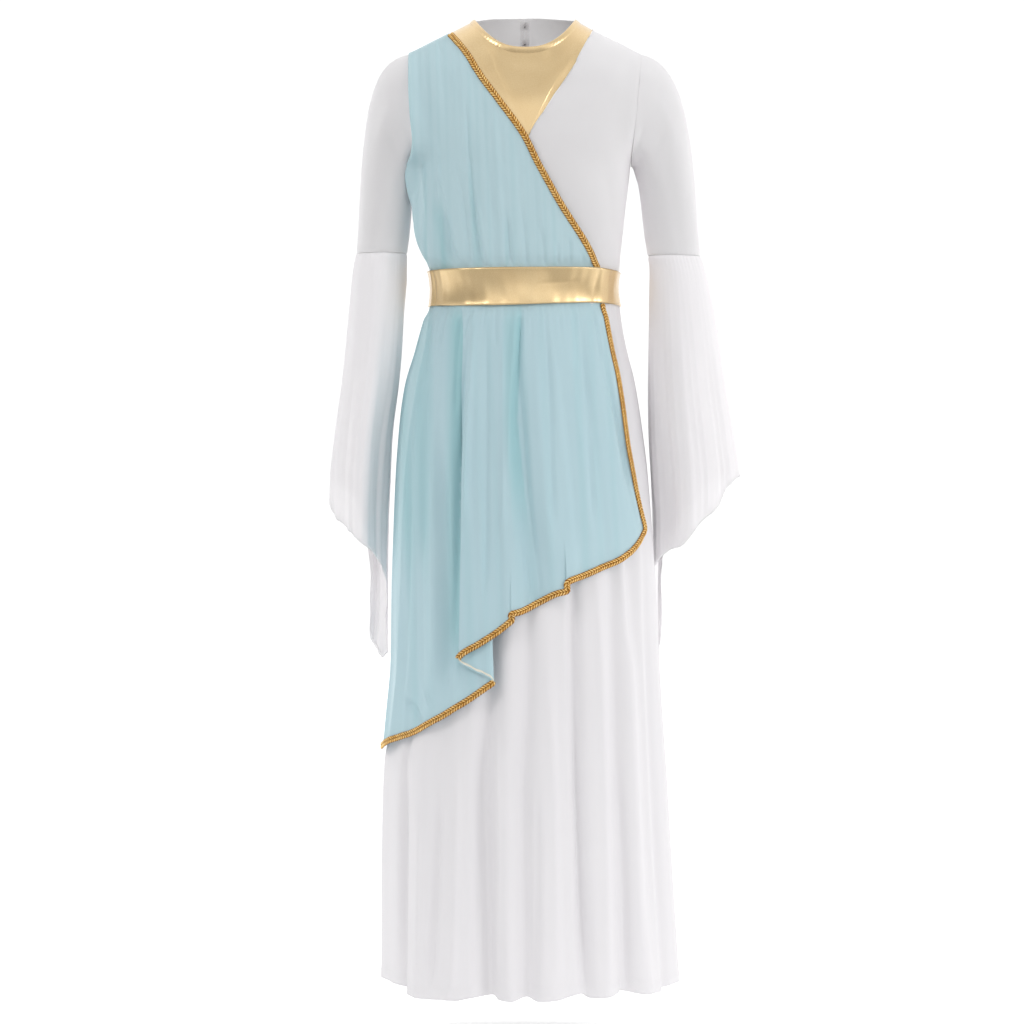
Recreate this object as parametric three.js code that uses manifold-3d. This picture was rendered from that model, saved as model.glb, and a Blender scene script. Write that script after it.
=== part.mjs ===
// Greek princess costume: a long, loose-sleeved dress held open as if worn, with nobody in it.
// Millimetres, +Z up. Origin between the shoulders at the height of the neck points.
// +X is the wearer's left (right in a front view), the front faces -Y.
//
// The cloth is a thin wall through sections: the bodice through front and back depths over a sloping
// shoulder line, the skirts through ellipses with folds, the sleeves through sections along the arm.
// Each sewn piece is its own solid, with a gap of a few tenths of a millimetre at every seam.
import * as THREE from "three";
import { mergeVertices } from "three/addons/utils/BufferGeometryUtils.js";
import Module from "manifold-3d";

// ---------------------------------------------------------------- driving sizes
const WALL = 1.2; // jersey and gathered chiffon, as solids
const SEAM = 0.25; // half of the gap left at a seam
const WAIST = { top: -298, bottom: -342, half: 113 }; // the gold band lies between these heights
const SHOULDER = { atCentre: 32, slope: 0.508, tip: 140, round: 60 }; // the slope of the shoulder seam
const UNDERARM = -175;
const NECK = { half: 60, front: -36.5, back: 9, power: 2.6, bind: 6.2 };
const HEM = -1153;
// The skirt's hem, by the angle from the centre front, rises a little over the wearer's right side.
const HEM_EDGE = [
  { angle: -90, z: -1145 },
  { angle: -66, z: -1150 },
  { angle: -45, z: -1155 },
  { angle: 0, z: -1155 },
  { angle: 90, z: -1153 },
  { angle: 180, z: -1155 },
  { angle: 240, z: -1152 },
  { angle: 270, z: -1145 },
];
const BRAID = { width: 7.6, thick: 1.8 };
const BUTTON = { radius: 4.2, thick: 1.8, heights: [0.5, -20] };
const PLACKET = { half: 5.5, length: 96, thick: 1.2 };
const BODICE_POWER = 2.4; // how square the bodice sections are

// Depth of the bodice in front of and behind the side seams, by height.
const BODICE = [
  { z: -300, front: 78, back: 72 },
  { z: -245, front: 83, back: 77 },
  { z: -200, front: 89, back: 83 },
  { z: -150, front: 91, back: 87 },
  { z: -110, front: 87, back: 85 },
  { z: -70, front: 75, back: 76 },
  { z: -36, front: 62, back: 66 },
  { z: 0, front: 52, back: 57 },
  { z: 34, front: 46, back: 50 },
];
// How far the bodice section would run on past the armhole, by height.
const PAST_ARMHOLE = [
  { z: -175, more: 0 },
  { z: -167, more: 5.5 },
  { z: -150, more: 14 },
  { z: -120, more: 23 },
  { z: -80, more: 30 },
  { z: -40, more: 34 },
  { z: 34, more: 36 },
];
// The white skirt: half width, depth in front and behind, and how far it hangs to one side.
const SKIRT = [
  { z: -342, half: 113.5, front: 78, back: 72, shift: 0 },
  { z: -362, half: 116, front: 82, back: 76, shift: 0 },
  { z: -394, half: 121.5, front: 88, back: 83, shift: 0.5 },
  { z: -430, half: 130, front: 95, back: 90, shift: 1 },
  { z: -484, half: 139, front: 104, back: 100, shift: 1 },
  { z: -540, half: 145.5, front: 111, back: 108, shift: 1.5 },
  { z: -640, half: 151.5, front: 121, back: 118, shift: 2.5 },
  { z: -772, half: 157.5, front: 132, back: 128, shift: 3 },
  { z: -850, half: 164, front: 138, back: 134, shift: 1 },
  { z: -890, half: 168.5, front: 141, back: 137, shift: -1 },
  { z: -1012, half: 173.5, front: 148, back: 144, shift: 1 },
  { z: -1090, half: 176, front: 152, back: 149, shift: 3.5 },
  { z: -1160, half: 178.5, front: 157, back: 154, shift: 5.5 },
];
// Folds of the white skirt: middle angle at the waist and at the hem (0 is the centre front, 90 the
// wearer's left side, 180 the centre back), half width in degrees, depth at the hem (+ out, - in) and
// the height where the fold starts.
const SKIRT_FOLDS = [
  { waist: -74, hem: -72, wide: 11, deep: 4.5, from: -500 },
  { waist: -58, hem: -55, wide: 7, deep: -7, from: -420 },
  { waist: -38, hem: -37, wide: 13, deep: 6, from: -460 },
  { waist: -20, hem: -18, wide: 8, deep: -9, from: -380 },
  { waist: -8, hem: -7, wide: 6, deep: 6, from: -430 },
  { waist: 0, hem: 0.5, wide: 5, deep: -5, from: -600 },
  { waist: 9, hem: 9, wide: 8, deep: 6, from: -480 },
  { waist: 22, hem: 23, wide: 7, deep: -9, from: -360 },
  { waist: 32, hem: 31, wide: 7, deep: 5, from: -440 },
  { waist: 43, hem: 42, wide: 8, deep: -6, from: -400 },
  { waist: 62, hem: 60, wide: 12, deep: 6, from: -450 },
  { waist: 96, hem: 97, wide: 10, deep: 4, from: -520 },
  { waist: 110, hem: 112, wide: 8, deep: -7, from: -420 },
  { waist: 124, hem: 127, wide: 10, deep: 6, from: -470 },
  { waist: 140, hem: 141, wide: 8, deep: -8, from: -390 },
  { waist: 156, hem: 157, wide: 9, deep: 6, from: -500 },
  { waist: 171, hem: 172, wide: 7, deep: -7, from: -400 },
  { waist: 187, hem: 186, wide: 10, deep: 7, from: -440 },
  { waist: 203, hem: 204, wide: 8, deep: -8, from: -380 },
  { waist: 219, hem: 217, wide: 9, deep: 6, from: -470 },
  { waist: 236, hem: 234, wide: 8, deep: -7, from: -400 },
  { waist: 252, hem: 251, wide: 10, deep: 5, from: -520 },
];
// The aqua overskirt stands off the white skirt by this much, by height and towards the hip.
const OVER_CLEAR = [
  { z: -342, front: 2.4, side: 2.6 },
  { z: -356, front: 4.5, side: 6 },
  { z: -394, front: 6, side: 11 },
  { z: -440, front: 6.5, side: 14 },
  { z: -520, front: 7, side: 14 },
  { z: -620, front: 7.5, side: 13 },
  { z: -770, front: 8, side: 9 },
  { z: -880, front: 8, side: 4 },
];
// Its free edge on the wearer's left, as an angle, by height.
const OVER_EDGE = [
  { z: -342, angle: 53.5 },
  { z: -500, angle: 53.8 },
  { z: -556, angle: 57.5 },
  { z: -592, angle: 62.5 },
  { z: -612, angle: 67 },
];
// The overskirt across its width, from the hip round to that edge. share is the share of the cloth,
// angle the direction where it hangs at its hem, hem the height of its hem and lift the layer that it
// lies in: at one deep pleat the cloth turns back under itself and out again.
const OVER = [
  { share: 0, angle: -100, hem: -876, lift: 0 },
  { share: 0.05, angle: -91, hem: -869, lift: 0 },
  { share: 0.12, angle: -78, hem: -861, lift: 0 },
  { share: 0.19, angle: -65, hem: -852, lift: 0 },
  { share: 0.27, angle: -50, hem: -842, lift: 0 },
  { share: 0.35, angle: -37, hem: -827, lift: 0 },
  { share: 0.41, angle: -26, hem: -810, lift: 0 },
  { share: 0.455, angle: -17, hem: -794, lift: 0 },
  { share: 0.475, angle: -13.6, hem: -786, lift: 1.6 },
  { share: 0.49, angle: -15, hem: -781, lift: 3.2 },
  { share: 0.525, angle: -21, hem: -772, lift: 3.4 },
  { share: 0.55, angle: -26.4, hem: -765, lift: 4.2 },
  { share: 0.565, angle: -28, hem: -763, lift: 6 },
  { share: 0.58, angle: -26.6, hem: -759, lift: 7.4 },
  { share: 0.615, angle: -19.2, hem: -747, lift: 6.4 },
  { share: 0.65, angle: -13, hem: -735, lift: 4.6 },
  { share: 0.69, angle: -5.7, hem: -715, lift: 3 },
  { share: 0.73, angle: 1, hem: -704, lift: 1.6 },
  { share: 0.79, angle: 12.8, hem: -684, lift: 0.8 },
  { share: 0.82, angle: 18.5, hem: -672, lift: 0.4 },
  { share: 0.88, angle: 31, hem: -659, lift: 0 },
  { share: 0.94, angle: 44, hem: -647, lift: 0 },
  { share: 0.97, angle: 54, hem: -633, lift: 0 },
  { share: 1, angle: 67, hem: -612, lift: 0 },
];
// Soft folds of the overskirt, as those of the skirt.
const OVER_FOLDS = [
  { waist: -72, hem: -70, wide: 9, deep: 5, from: -360 },
  { waist: -52, hem: -50, wide: 9, deep: -5, from: -380 },
  { waist: -38, hem: -36, wide: 8, deep: 4, from: -360 },
  { waist: 3, hem: 6, wide: 6, deep: -6, from: -350 },
  { waist: 14, hem: 16, wide: 8, deep: 5, from: -380 },
  { waist: 32, hem: 33, wide: 9, deep: -3, from: -360 },
  { waist: 46, hem: 47, wide: 8, deep: 3, from: -400 },
];
// The bodice overlay stands off the bodice by this much, by its share of the height from waist to shoulder.
const OVERLAY_CLEAR = [
  { up: 0, middle: 2.2, side: 2.2 },
  { up: 0.05, middle: 5, side: 8 },
  { up: 0.13, middle: 6.5, side: 14 },
  { up: 0.24, middle: 5.4, side: 16.5 },
  { up: 0.34, middle: 4.2, side: 12 },
  { up: 0.43, middle: 4, side: 7 },
  { up: 0.52, middle: 3.8, side: 5.4 },
  { up: 0.6, middle: 3.5, side: 3.6 },
  { up: 0.8, middle: 2.8, side: 2.6 },
  { up: 1, middle: 2.2, side: 2.2 },
];
// The crossing front edge of the overlay and the seam on the other side of the gold yoke.
const CROSS_EDGE = [
  { z: 14, x: -113 },
  { z: -21.6, x: -86 },
  { z: -46, x: -68 },
  { z: -70, x: -53.7 },
  { z: -93, x: -37.3 },
  { z: -112, x: -23 },
  { z: -129.5, x: -9.9 },
  { z: -146, x: 1.2 },
  { z: -173, x: 15 },
  { z: -197, x: 28 },
  { z: -220, x: 41 },
  { z: -243, x: 55 },
  { z: -266, x: 69 },
  { z: -290, x: 82 },
  { z: -303, x: 89.5 },
];
const YOKE_EDGE = [
  { z: 14, x: 92 },
  { z: -12, x: 80.4 },
  { z: -46, x: 64.7 },
  { z: -71, x: 50 },
  { z: -94, x: 34.5 },
  { z: -113, x: 22.6 },
  { z: -133, x: 10.3 },
  { z: -150, x: 0 },
];
// The two sleeves, by the wearer's side: where the upper sleeve ends, and the widths of the bell below
// it (inner and outer edge, the outer edge of the back layer, depth to each side, and how far back its
// middle lies).
const SLEEVES = {
  left: {
    sign: 1,
    cuff: { z: -281, inner: 147.5, outer: 211, deep: 35, back: 4 },
    bell: [
      { z: -281, inner: 147.5, outer: 211, outerBack: 211, deep: 35, back: 4 },
      { z: -300, inner: 149.5, outer: 217, outerBack: 217, deep: 38, back: 4 },
      { z: -350, inner: 148.5, outer: 228, outerBack: 228, deep: 45, back: 5 },
      { z: -430, inner: 147.5, outer: 241, outerBack: 240, deep: 54, back: 8 },
      { z: -500, inner: 150, outer: 252, outerBack: 244, deep: 59, back: 12 },
      { z: -550, inner: 153, outer: 258, outerBack: 228, deep: 59, back: 16 },
      { z: -600, inner: 156, outer: 256, outerBack: 198, deep: 54, back: 22 },
      { z: -650, inner: 156, outer: 246, outerBack: 176, deep: 42, back: 34 },
      { z: -700, inner: 155, outer: 236, outerBack: 177, deep: 27, back: 44 },
      { z: -770, inner: 155, outer: 230, outerBack: 182, deep: 18, back: 48 },
    ],
    // the hem, round from the outer edge (0) by the back (90), the inner edge (180) and the front (270)
    hem: [
      { round: 0, z: -541 },
      { round: 30, z: -552 },
      { round: 55, z: -580 },
      { round: 72, z: -622 },
      { round: 90, z: -722 },
      { round: 106, z: -754 },
      { round: 140, z: -760 },
      { round: 158, z: -750 },
      { round: 178, z: -715 },
      { round: 200, z: -655 },
      { round: 225, z: -636 },
      { round: 250, z: -628 },
      { round: 275, z: -600 },
      { round: 300, z: -582 },
      { round: 318, z: -556 },
      { round: 340, z: -544 },
      { round: 360, z: -541 },
    ],
  },
  right: {
    sign: -1,
    cuff: { z: -278, inner: 141.5, outer: 203, deep: 35, back: 6 },
    bell: [
      { z: -278, inner: 141.5, outer: 203, outerBack: 203, deep: 35, back: 6 },
      { z: -300, inner: 141.5, outer: 207, outerBack: 207, deep: 38, back: 7 },
      { z: -350, inner: 145, outer: 212.5, outerBack: 212, deep: 44, back: 11 },
      { z: -394, inner: 147.5, outer: 217.5, outerBack: 216, deep: 49, back: 17 },
      { z: -430, inner: 151, outer: 221.5, outerBack: 219, deep: 52, back: 21 },
      { z: -500, inner: 160.5, outer: 230, outerBack: 222, deep: 55, back: 24 },
      { z: -550, inner: 163.5, outer: 234, outerBack: 216, deep: 54, back: 27 },
      { z: -600, inner: 166, outer: 234, outerBack: 203, deep: 48, back: 32 },
      { z: -650, inner: 167, outer: 230, outerBack: 199, deep: 38, back: 38 },
      { z: -700, inner: 167, outer: 226, outerBack: 203, deep: 28, back: 43 },
      { z: -770, inner: 167, outer: 224, outerBack: 217, deep: 20, back: 46 },
    ],
    hem: [
      { round: 0, z: -549 },
      { round: 30, z: -566 },
      { round: 55, z: -600 },
      { round: 75, z: -688 },
      { round: 90, z: -738 },
      { round: 115, z: -754 },
      { round: 145, z: -764 },
      { round: 170, z: -748 },
      { round: 190, z: -700 },
      { round: 215, z: -652 },
      { round: 240, z: -636 },
      { round: 270, z: -622 },
      { round: 300, z: -606 },
      { round: 325, z: -594 },
      { round: 343, z: -565 },
      { round: 360, z: -549 },
    ],
  },
};

// Colours, as plain materials.
const FINISH = {
  jersey: { color: 0xf1eff1, roughness: 0.85, metalness: 0 },
  chiffon: { color: 0xf4f2f4, roughness: 0.9, metalness: 0 },
  aqua: { color: 0xafd0d6, roughness: 0.85, metalness: 0 },
  foil: { color: 0xcfae6f, roughness: 0.35, metalness: 0.8 },
  braid: { color: 0xb8822f, roughness: 0.5, metalness: 0.5 },
  button: { color: 0xf0eeee, roughness: 0.4, metalness: 0 },
};

// ---------------------------------------------------------------- tables and sections
const rad = THREE.MathUtils.degToRad;
const clamp = THREE.MathUtils.clamp;

// A smooth function through one column of a table, which never overshoots its rows.
function column(rows, key, value) {
  const r = [...rows].sort((a, b) => a[key] - b[key]);
  const x = r.map((o) => o[key]), y = r.map((o) => o[value]);
  const n = x.length;
  const d = x.slice(1).map((v, i) => (y[i + 1] - y[i]) / (v - x[i]));
  const m = y.map((_, i) => {
    if (i === 0) return d[0];
    if (i === n - 1) return d[n - 2];
    return d[i - 1] * d[i] <= 0 ? 0 : (2 * d[i - 1] * d[i]) / (d[i - 1] + d[i]);
  });
  return (v) => {
    if (v <= x[0]) return y[0];
    if (v >= x[n - 1]) return y[n - 1];
    let i = 0;
    while (v > x[i + 1]) i++;
    const h = x[i + 1] - x[i], t = (v - x[i]) / h;
    return (
      y[i] * (1 + 2 * t) * (1 - t) ** 2 +
      m[i] * h * t * (1 - t) ** 2 +
      y[i + 1] * t * t * (3 - 2 * t) +
      m[i + 1] * h * t * t * (t - 1)
    );
  };
}

const bodiceFront = column(BODICE, "z", "front");
const bodiceBack = column(BODICE, "z", "back");
const pastArmhole = column(PAST_ARMHOLE, "z", "more");
const crossEdge = column(CROSS_EDGE, "z", "x");
const yokeEdge = column(YOKE_EDGE, "z", "x");

const shoulder = (x) => SHOULDER.atCentre - SHOULDER.slope * Math.abs(x);
// Half width of the bodice: side seam below the arm, armhole seam above it.
const bodiceEdge = (z) =>
  WAIST.half + ((SHOULDER.tip - WAIST.half) * (z - WAIST.top)) / (shoulder(SHOULDER.tip) - WAIST.top);
const bodiceReach = (z) => bodiceEdge(Math.min(z, UNDERARM)) + (z > UNDERARM ? pastArmhole(z) : 0);

// A point of the bodice: side is -1 in front and +1 behind.
function bodice(side, x, z) {
  const q = Math.min(1, Math.abs(x) / bodiceReach(z));
  const across = (1 - q ** BODICE_POWER) ** (1 / BODICE_POWER);
  const below = clamp((shoulder(x) - z) / SHOULDER.round, 0, 1);
  const over = Math.sqrt(1 - (1 - below) ** 2);
  const deep = (side < 0 ? bodiceFront(z) : bodiceBack(z)) * across * over;
  return new THREE.Vector3(x, side * Math.max(SEAM, deep), z);
}

const skirtHalf = column(SKIRT, "z", "half");
const skirtFront = column(SKIRT, "z", "front");
const skirtBack = column(SKIRT, "z", "back");
const skirtShift = column(SKIRT, "z", "shift");
const hemEdge = column(HEM_EDGE, "angle", "z");

// Radial depth of a set of folds at an angle and height.
function folds(list, angle, z, bottom) {
  let sum = 0;
  for (const f of list) {
    const fall = clamp((f.from - z) / (f.from - bottom), 0, 1);
    if (fall === 0) continue;
    const middle = f.waist + (f.hem - f.waist) * fall;
    const off = (((angle - middle + 540) % 360) - 180) / f.wide;
    if (Math.abs(off) < 1.6) sum += f.deep * fall ** 0.8 * Math.exp(-2.2 * off * off);
  }
  return sum;
}

// A point of the skirt, or of a layer that stands off it.
function skirt(angle, z, off = 0) {
  const s = Math.sin(rad(angle)), c = Math.cos(rad(angle));
  const deep = c > 0 ? skirtFront(z) : skirtBack(z);
  const half = skirtHalf(z);
  const out = new THREE.Vector2(s / half, -c / deep).normalize();
  const r = off + folds(SKIRT_FOLDS, angle, z, HEM);
  return new THREE.Vector3(skirtShift(z) + half * s + out.x * r, -deep * c + out.y * r, z);
}

// ---------------------------------------------------------------- walls
const solids = await (async () => {
  const wasm = await Module();
  wasm.setup();
  return wasm;
})();

// A closed wall of even thickness on a grid of middle points. round joins the last column to the first.
// trim bends the direction of the thickness at a seam, so that the cut edge stays in the seam's plane.
function wall(grid, thick, { round = false, trim = null, flip = false } = {}) {
  const rows = grid.length, cols = grid[0].length;
  const at = (j, i) => grid[clamp(j, 0, rows - 1)][round ? (i + cols) % cols : clamp(i, 0, cols - 1)];
  const position = [], index = [];
  for (const s of [1, -1])
    for (let j = 0; j < rows; j++)
      for (let i = 0; i < cols; i++) {
        const along = at(j, i + 1).clone().sub(at(j, i - 1));
        const up = at(j + 1, i).clone().sub(at(j - 1, i));
        const n = along.cross(up).normalize().multiplyScalar(flip ? -1 : 1);
        if (trim) trim(n, i, j, cols, rows);
        n.normalize();
        const p = at(j, i).clone().addScaledVector(n, (s * thick) / 2);
        position.push(p.x, p.y, p.z);
      }
  const id = (s, j, i) => s * rows * cols + j * cols + (round ? (i + cols) % cols : i);
  const quad = (a, b, c, d) => (flip ? index.push(a, c, b, a, d, c) : index.push(a, b, c, a, c, d));
  const last = round ? cols : cols - 1;
  for (let j = 0; j < rows - 1; j++)
    for (let i = 0; i < last; i++) {
      quad(id(0, j, i), id(0, j, i + 1), id(0, j + 1, i + 1), id(0, j + 1, i));
      quad(id(1, j, i), id(1, j + 1, i), id(1, j + 1, i + 1), id(1, j, i + 1));
    }
  for (let i = 0; i < last; i++) {
    quad(id(0, 0, i), id(1, 0, i), id(1, 0, i + 1), id(0, 0, i + 1));
    quad(id(0, rows - 1, i), id(0, rows - 1, i + 1), id(1, rows - 1, i + 1), id(1, rows - 1, i));
  }
  if (!round)
    for (let j = 0; j < rows - 1; j++) {
      quad(id(0, j, 0), id(0, j + 1, 0), id(1, j + 1, 0), id(1, j, 0));
      quad(id(0, j, cols - 1), id(1, j, cols - 1), id(1, j + 1, cols - 1), id(0, j + 1, cols - 1));
    }
  const g = new THREE.BufferGeometry();
  g.setAttribute("position", new THREE.Float32BufferAttribute(position, 3));
  g.setIndex(index);
  return g;
}

const grid = (rows, cols, point) =>
  Array.from({ length: rows + 1 }, (_, j) =>
    Array.from({ length: cols + 1 }, (_, i) => point(i / cols, j / rows, i, j)),
  );

// Solids from geometries, for the cuts at the yoke.
function solid(geometry) {
  const g = geometry.clone();
  g.deleteAttribute("normal");
  g.deleteAttribute("uv");
  const m = mergeVertices(g, 1e-4);
  return new solids.Manifold(
    new solids.Mesh({
      numProp: 3,
      vertProperties: new Float32Array(m.attributes.position.array),
      triVerts: new Uint32Array(m.index.array),
    }),
  );
}
function geometry(manifold) {
  const m = manifold.getMesh();
  const g = new THREE.BufferGeometry();
  g.setAttribute("position", new THREE.BufferAttribute(new Float32Array(m.vertProperties), 3));
  g.setIndex(new THREE.BufferAttribute(new Uint32Array(m.triVerts), 1));
  return g;
}

const costume = new THREE.Group();
function piece(name, shape, finish) {
  shape.computeVertexNormals();
  const mesh = new THREE.Mesh(shape, new THREE.MeshStandardMaterial(FINISH[finish]));
  mesh.name = name;
  costume.add(mesh);
  return mesh;
}

// ---------------------------------------------------------------- bodice
// Top edge of the front below the neck binding, and of the back.
const NECK_CUT = NECK.half + NECK.bind;
const frontTop = (x) =>
  Math.abs(x) >= NECK_CUT
    ? shoulder(x)
    : shoulder(NECK_CUT) +
      (NECK.front - NECK.bind - shoulder(NECK_CUT)) * (1 - (Math.abs(x) / NECK_CUT) ** NECK.power);
const backTop = (x) =>
  Math.abs(x) >= NECK.half
    ? shoulder(x)
    : shoulder(NECK.half) + (NECK.back - shoulder(NECK.half)) * (1 - (Math.abs(x) / NECK.half) ** 2);
const neckEdge = (x) =>
  shoulder(NECK.half) +
  (NECK.front - shoulder(NECK.half)) * (1 - Math.min(1, Math.abs(x) / NECK.half) ** NECK.power);

// Across a panel: u runs from -1 at one side seam to +1 at the other, and reaches the neck point at NECK_SHARE.
const NECK_SHARE = 0.6;
function acrossTop(u, corner) {
  const a = Math.abs(u), s = Math.sign(u);
  return a <= NECK_SHARE + 1e-9
    ? s * corner * Math.sin(rad((90 * a) / NECK_SHARE))
    : s * (corner + ((SHOULDER.tip - corner) * (a - NECK_SHARE)) / (1 - NECK_SHARE));
}
function panelPoint(side, u, v, corner, top) {
  const below = (1 - v) ** 1.6; // rows draw together towards the shoulder
  const xt = acrossTop(u, corner), zt = top(xt);
  const z = zt - (zt - WAIST.top) * below;
  const share = (z - WAIST.top) / (shoulder(xt) - WAIST.top);
  const xb = WAIST.half * Math.sin(rad(90 * u));
  let x = xb + (xt - xb) * clamp(share, 0, 1);
  if (Math.abs(u) === 1) x = Math.sign(u) * bodiceEdge(z);
  return bodice(side, x, z);
}
// Thickness at the seams of a panel.
const panelTrim = (us, corner) => (n, i, j, cols, rows) => {
  const u = us(i);
  if (Math.abs(u) === 1) {
    if (j / (rows - 1) < 0.45) n.y = 0;
    else n.x = 0;
  }
  if (j === rows - 1 && Math.abs(u) > NECK_SHARE - 0.01) n.y = 0;
  if (j === 0) n.z = 0;
};

const ROWS = 11, COLS = 20;
const uFront = (i) => -1 + (2 * i) / COLS;
const frontGrid = grid(ROWS, COLS, (_, v, i) => panelPoint(-1, uFront(i), v, NECK_CUT, frontTop));
const frontWall = solid(wall(frontGrid, WALL, { trim: panelTrim(uFront) }));

// A prism along Y over an outline in the X-Z plane, in front of the side seams.
function prism(points) {
  const shape = new THREE.Shape(points.map(([x, z]) => new THREE.Vector2(x, z)));
  const g = new THREE.ExtrudeGeometry(shape, { depth: 200, bevelEnabled: false });
  g.rotateX(Math.PI / 2); // x, y, z -> x, -z, y
  g.translate(0, 20, 0);
  return solid(g);
}
const steps = (a, b, n) => Array.from({ length: n + 1 }, (_, i) => a + ((b - a) * i) / n);
const YOKE_TIP = -147.5;
function yokeOutline(grow) {
  const left = steps(12, YOKE_TIP + 8, 7).map((z) => [crossEdge(z) - grow, z]);
  const right = steps(YOKE_TIP + 8, 12, 7).map((z) => [yokeEdge(z) + grow, z]);
  return [...left, [1.9, YOKE_TIP - grow], ...right];
}
piece("front_bodice", geometry(frontWall.subtract(prism(yokeOutline(SEAM)))), "jersey");
piece("gold_yoke", geometry(frontWall.intersect(prism(yokeOutline(-SEAM)))), "foil");

// The binding round the front neckline, from shoulder seam to shoulder seam.
const bindGrid = grid(2, 12, (s, v) => {
  const turn = Math.sin(rad(-90 + 180 * s)) ;
  const inner = turn * NECK.half, outer = turn * (NECK_CUT - 0.5);
  const zi = neckEdge(inner), zo = frontTop(turn * NECK_CUT) + 0.5;
  const x = outer + (inner - outer) * v, z = zo + (zi - zo) * v;
  const p = bodice(-1, x, Math.min(z, shoulder(x)));
  p.z = z;
  return p;
});
piece(
  "neck_binding",
  wall(bindGrid, 1.8, {
    trim: (n, i, j, cols) => {
      if (i === 0 || i === cols - 1) n.y = 0;
    },
  }),
  "foil",
);

// Two back panels that meet at the centre back.
const HALF = 10;
for (const [name, sign] of [["back_bodice_left", 1], ["back_bodice_right", -1]]) {
  const g = grid(ROWS, HALF, (s, v, i) => {
    const p = panelPoint(1, sign * (i / HALF), v, NECK.half, backTop);
    if (i === 0) p.x = sign * SEAM;
    return p;
  });
  const trim = panelTrim((i) => sign * (i / HALF));
  piece(
    name,
    wall(g, WALL, {
      flip: sign > 0,
      trim: (n, i, j, cols, rows) => {
        trim(n, i, j, cols, rows);
        if (i === 0) n.x = 0;
      },
    }),
    "jersey",
  );
}

// The placket behind the opening at the centre back, and its two buttons.
const backDeep = (x, z, off) => {
  const p = bodice(1, x, z), q = bodice(1, x, z - 2), r = bodice(1, x, z + 2);
  const n = new THREE.Vector3(0, r.z - q.z, q.y - r.y).normalize();
  return { point: p.clone().addScaledVector(n, off), normal: n };
};
const placketGrid = grid(8, 2, (s, v) =>
  backDeep((s * 2 - 1) * PLACKET.half, NECK.back - 1.2 - PLACKET.length * (1 - v), -(WALL + PLACKET.thick) / 2 - 1.0).point,
);
piece("back_placket", wall(placketGrid, PLACKET.thick, { flip: true }), "jersey");
BUTTON.heights.forEach((z, i) => {
  const { point, normal } = backDeep(0, z, WALL / 2 + 0.3 + BUTTON.thick / 2);
  const g = new THREE.CylinderGeometry(BUTTON.radius * 0.86, BUTTON.radius, BUTTON.thick, 12);
  const b = piece(i === 0 ? "button_upper" : "button_lower", g, "button");
  b.position.copy(point);
  b.quaternion.setFromUnitVectors(new THREE.Vector3(0, 1, 0), normal);
});

// ---------------------------------------------------------------- bodice overlay
const clearMiddle = column(OVERLAY_CLEAR, "up", "middle");
const clearSide = column(OVERLAY_CLEAR, "up", "side");
function bodiceOut(side, x, z, off) {
  const p = bodice(side, x, z), e = 1.5;
  const dx = bodice(side, x + e, z).sub(bodice(side, x - e, z));
  const dz = bodice(side, x, Math.min(z + e, shoulder(x))).sub(bodice(side, x, z - e));
  const n = dx.cross(dz).normalize().multiplyScalar(side < 0 ? 1 : -1);
  return { point: p.clone().addScaledVector(n, off), normal: n, base: p };
}
// The overlay runs from the side seam and the armhole to the crossing edge. It bulges over the side.
function overlayPoint(s, v) {
  const below = (1 - v) ** 1.5;
  const shoulderLeft = -SHOULDER.tip + 1.5, shoulderRight = -90;
  const xt = shoulderLeft + (shoulderRight - shoulderLeft) * s;
  const zt = shoulder(xt) - 0.6;
  const bottom = WAIST.top + 0.9;
  const z = zt - (zt - bottom) * below;
  const share = (z - bottom) / (zt - bottom);
  const left = -bodiceEdge(z) + (z > UNDERARM ? 1.2 : 0);
  const right = Math.min(crossEdge(z), 120);
  const a = Math.asin(clamp(left / bodiceReach(z), -1, 1));
  const b = Math.asin(clamp(right / bodiceReach(z), -1, 1));
  const turn = a + (b - a) * s;
  const x = bodiceReach(z) * Math.sin(turn);
  const zz = Math.min(z, shoulder(x) - 0.6);
  // the puff over the side is fullest a little in front of the seam that holds it
  const side = Math.exp(-(((s - 0.11) / 0.13) ** 2));
  let off = clearMiddle(share) + (clearSide(share) - clearMiddle(share)) * side;
  if (s === 0) off = 2.4;
  const { point, base } = bodiceOut(-1, x, zz, off);
  if (s === 0 && z < UNDERARM) point.set(base.x - off, -SEAM - 0.4, zz);
  if (z >= UNDERARM) {
    // it ends in the armhole seam
    const past = Math.max(0, -bodiceEdge(z) + 0.4 - point.x);
    point.x += past;
    point.y -= past;
  }
  return point;
}
const overlayGrid = grid(11, 12, (s, v) => overlayPoint(s ** 1.25, v));
piece(
  "bodice_overlay",
  wall(overlayGrid, 0.9, {
    trim: (n, i, j, cols, rows) => {
      if (i === 0) {
        if (j / (rows - 1) < 0.45) n.y = 0;
        else n.x = 0;
      }
      if (j === 0) n.z = 0;
    },
  }),
  "aqua",
);

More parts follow.
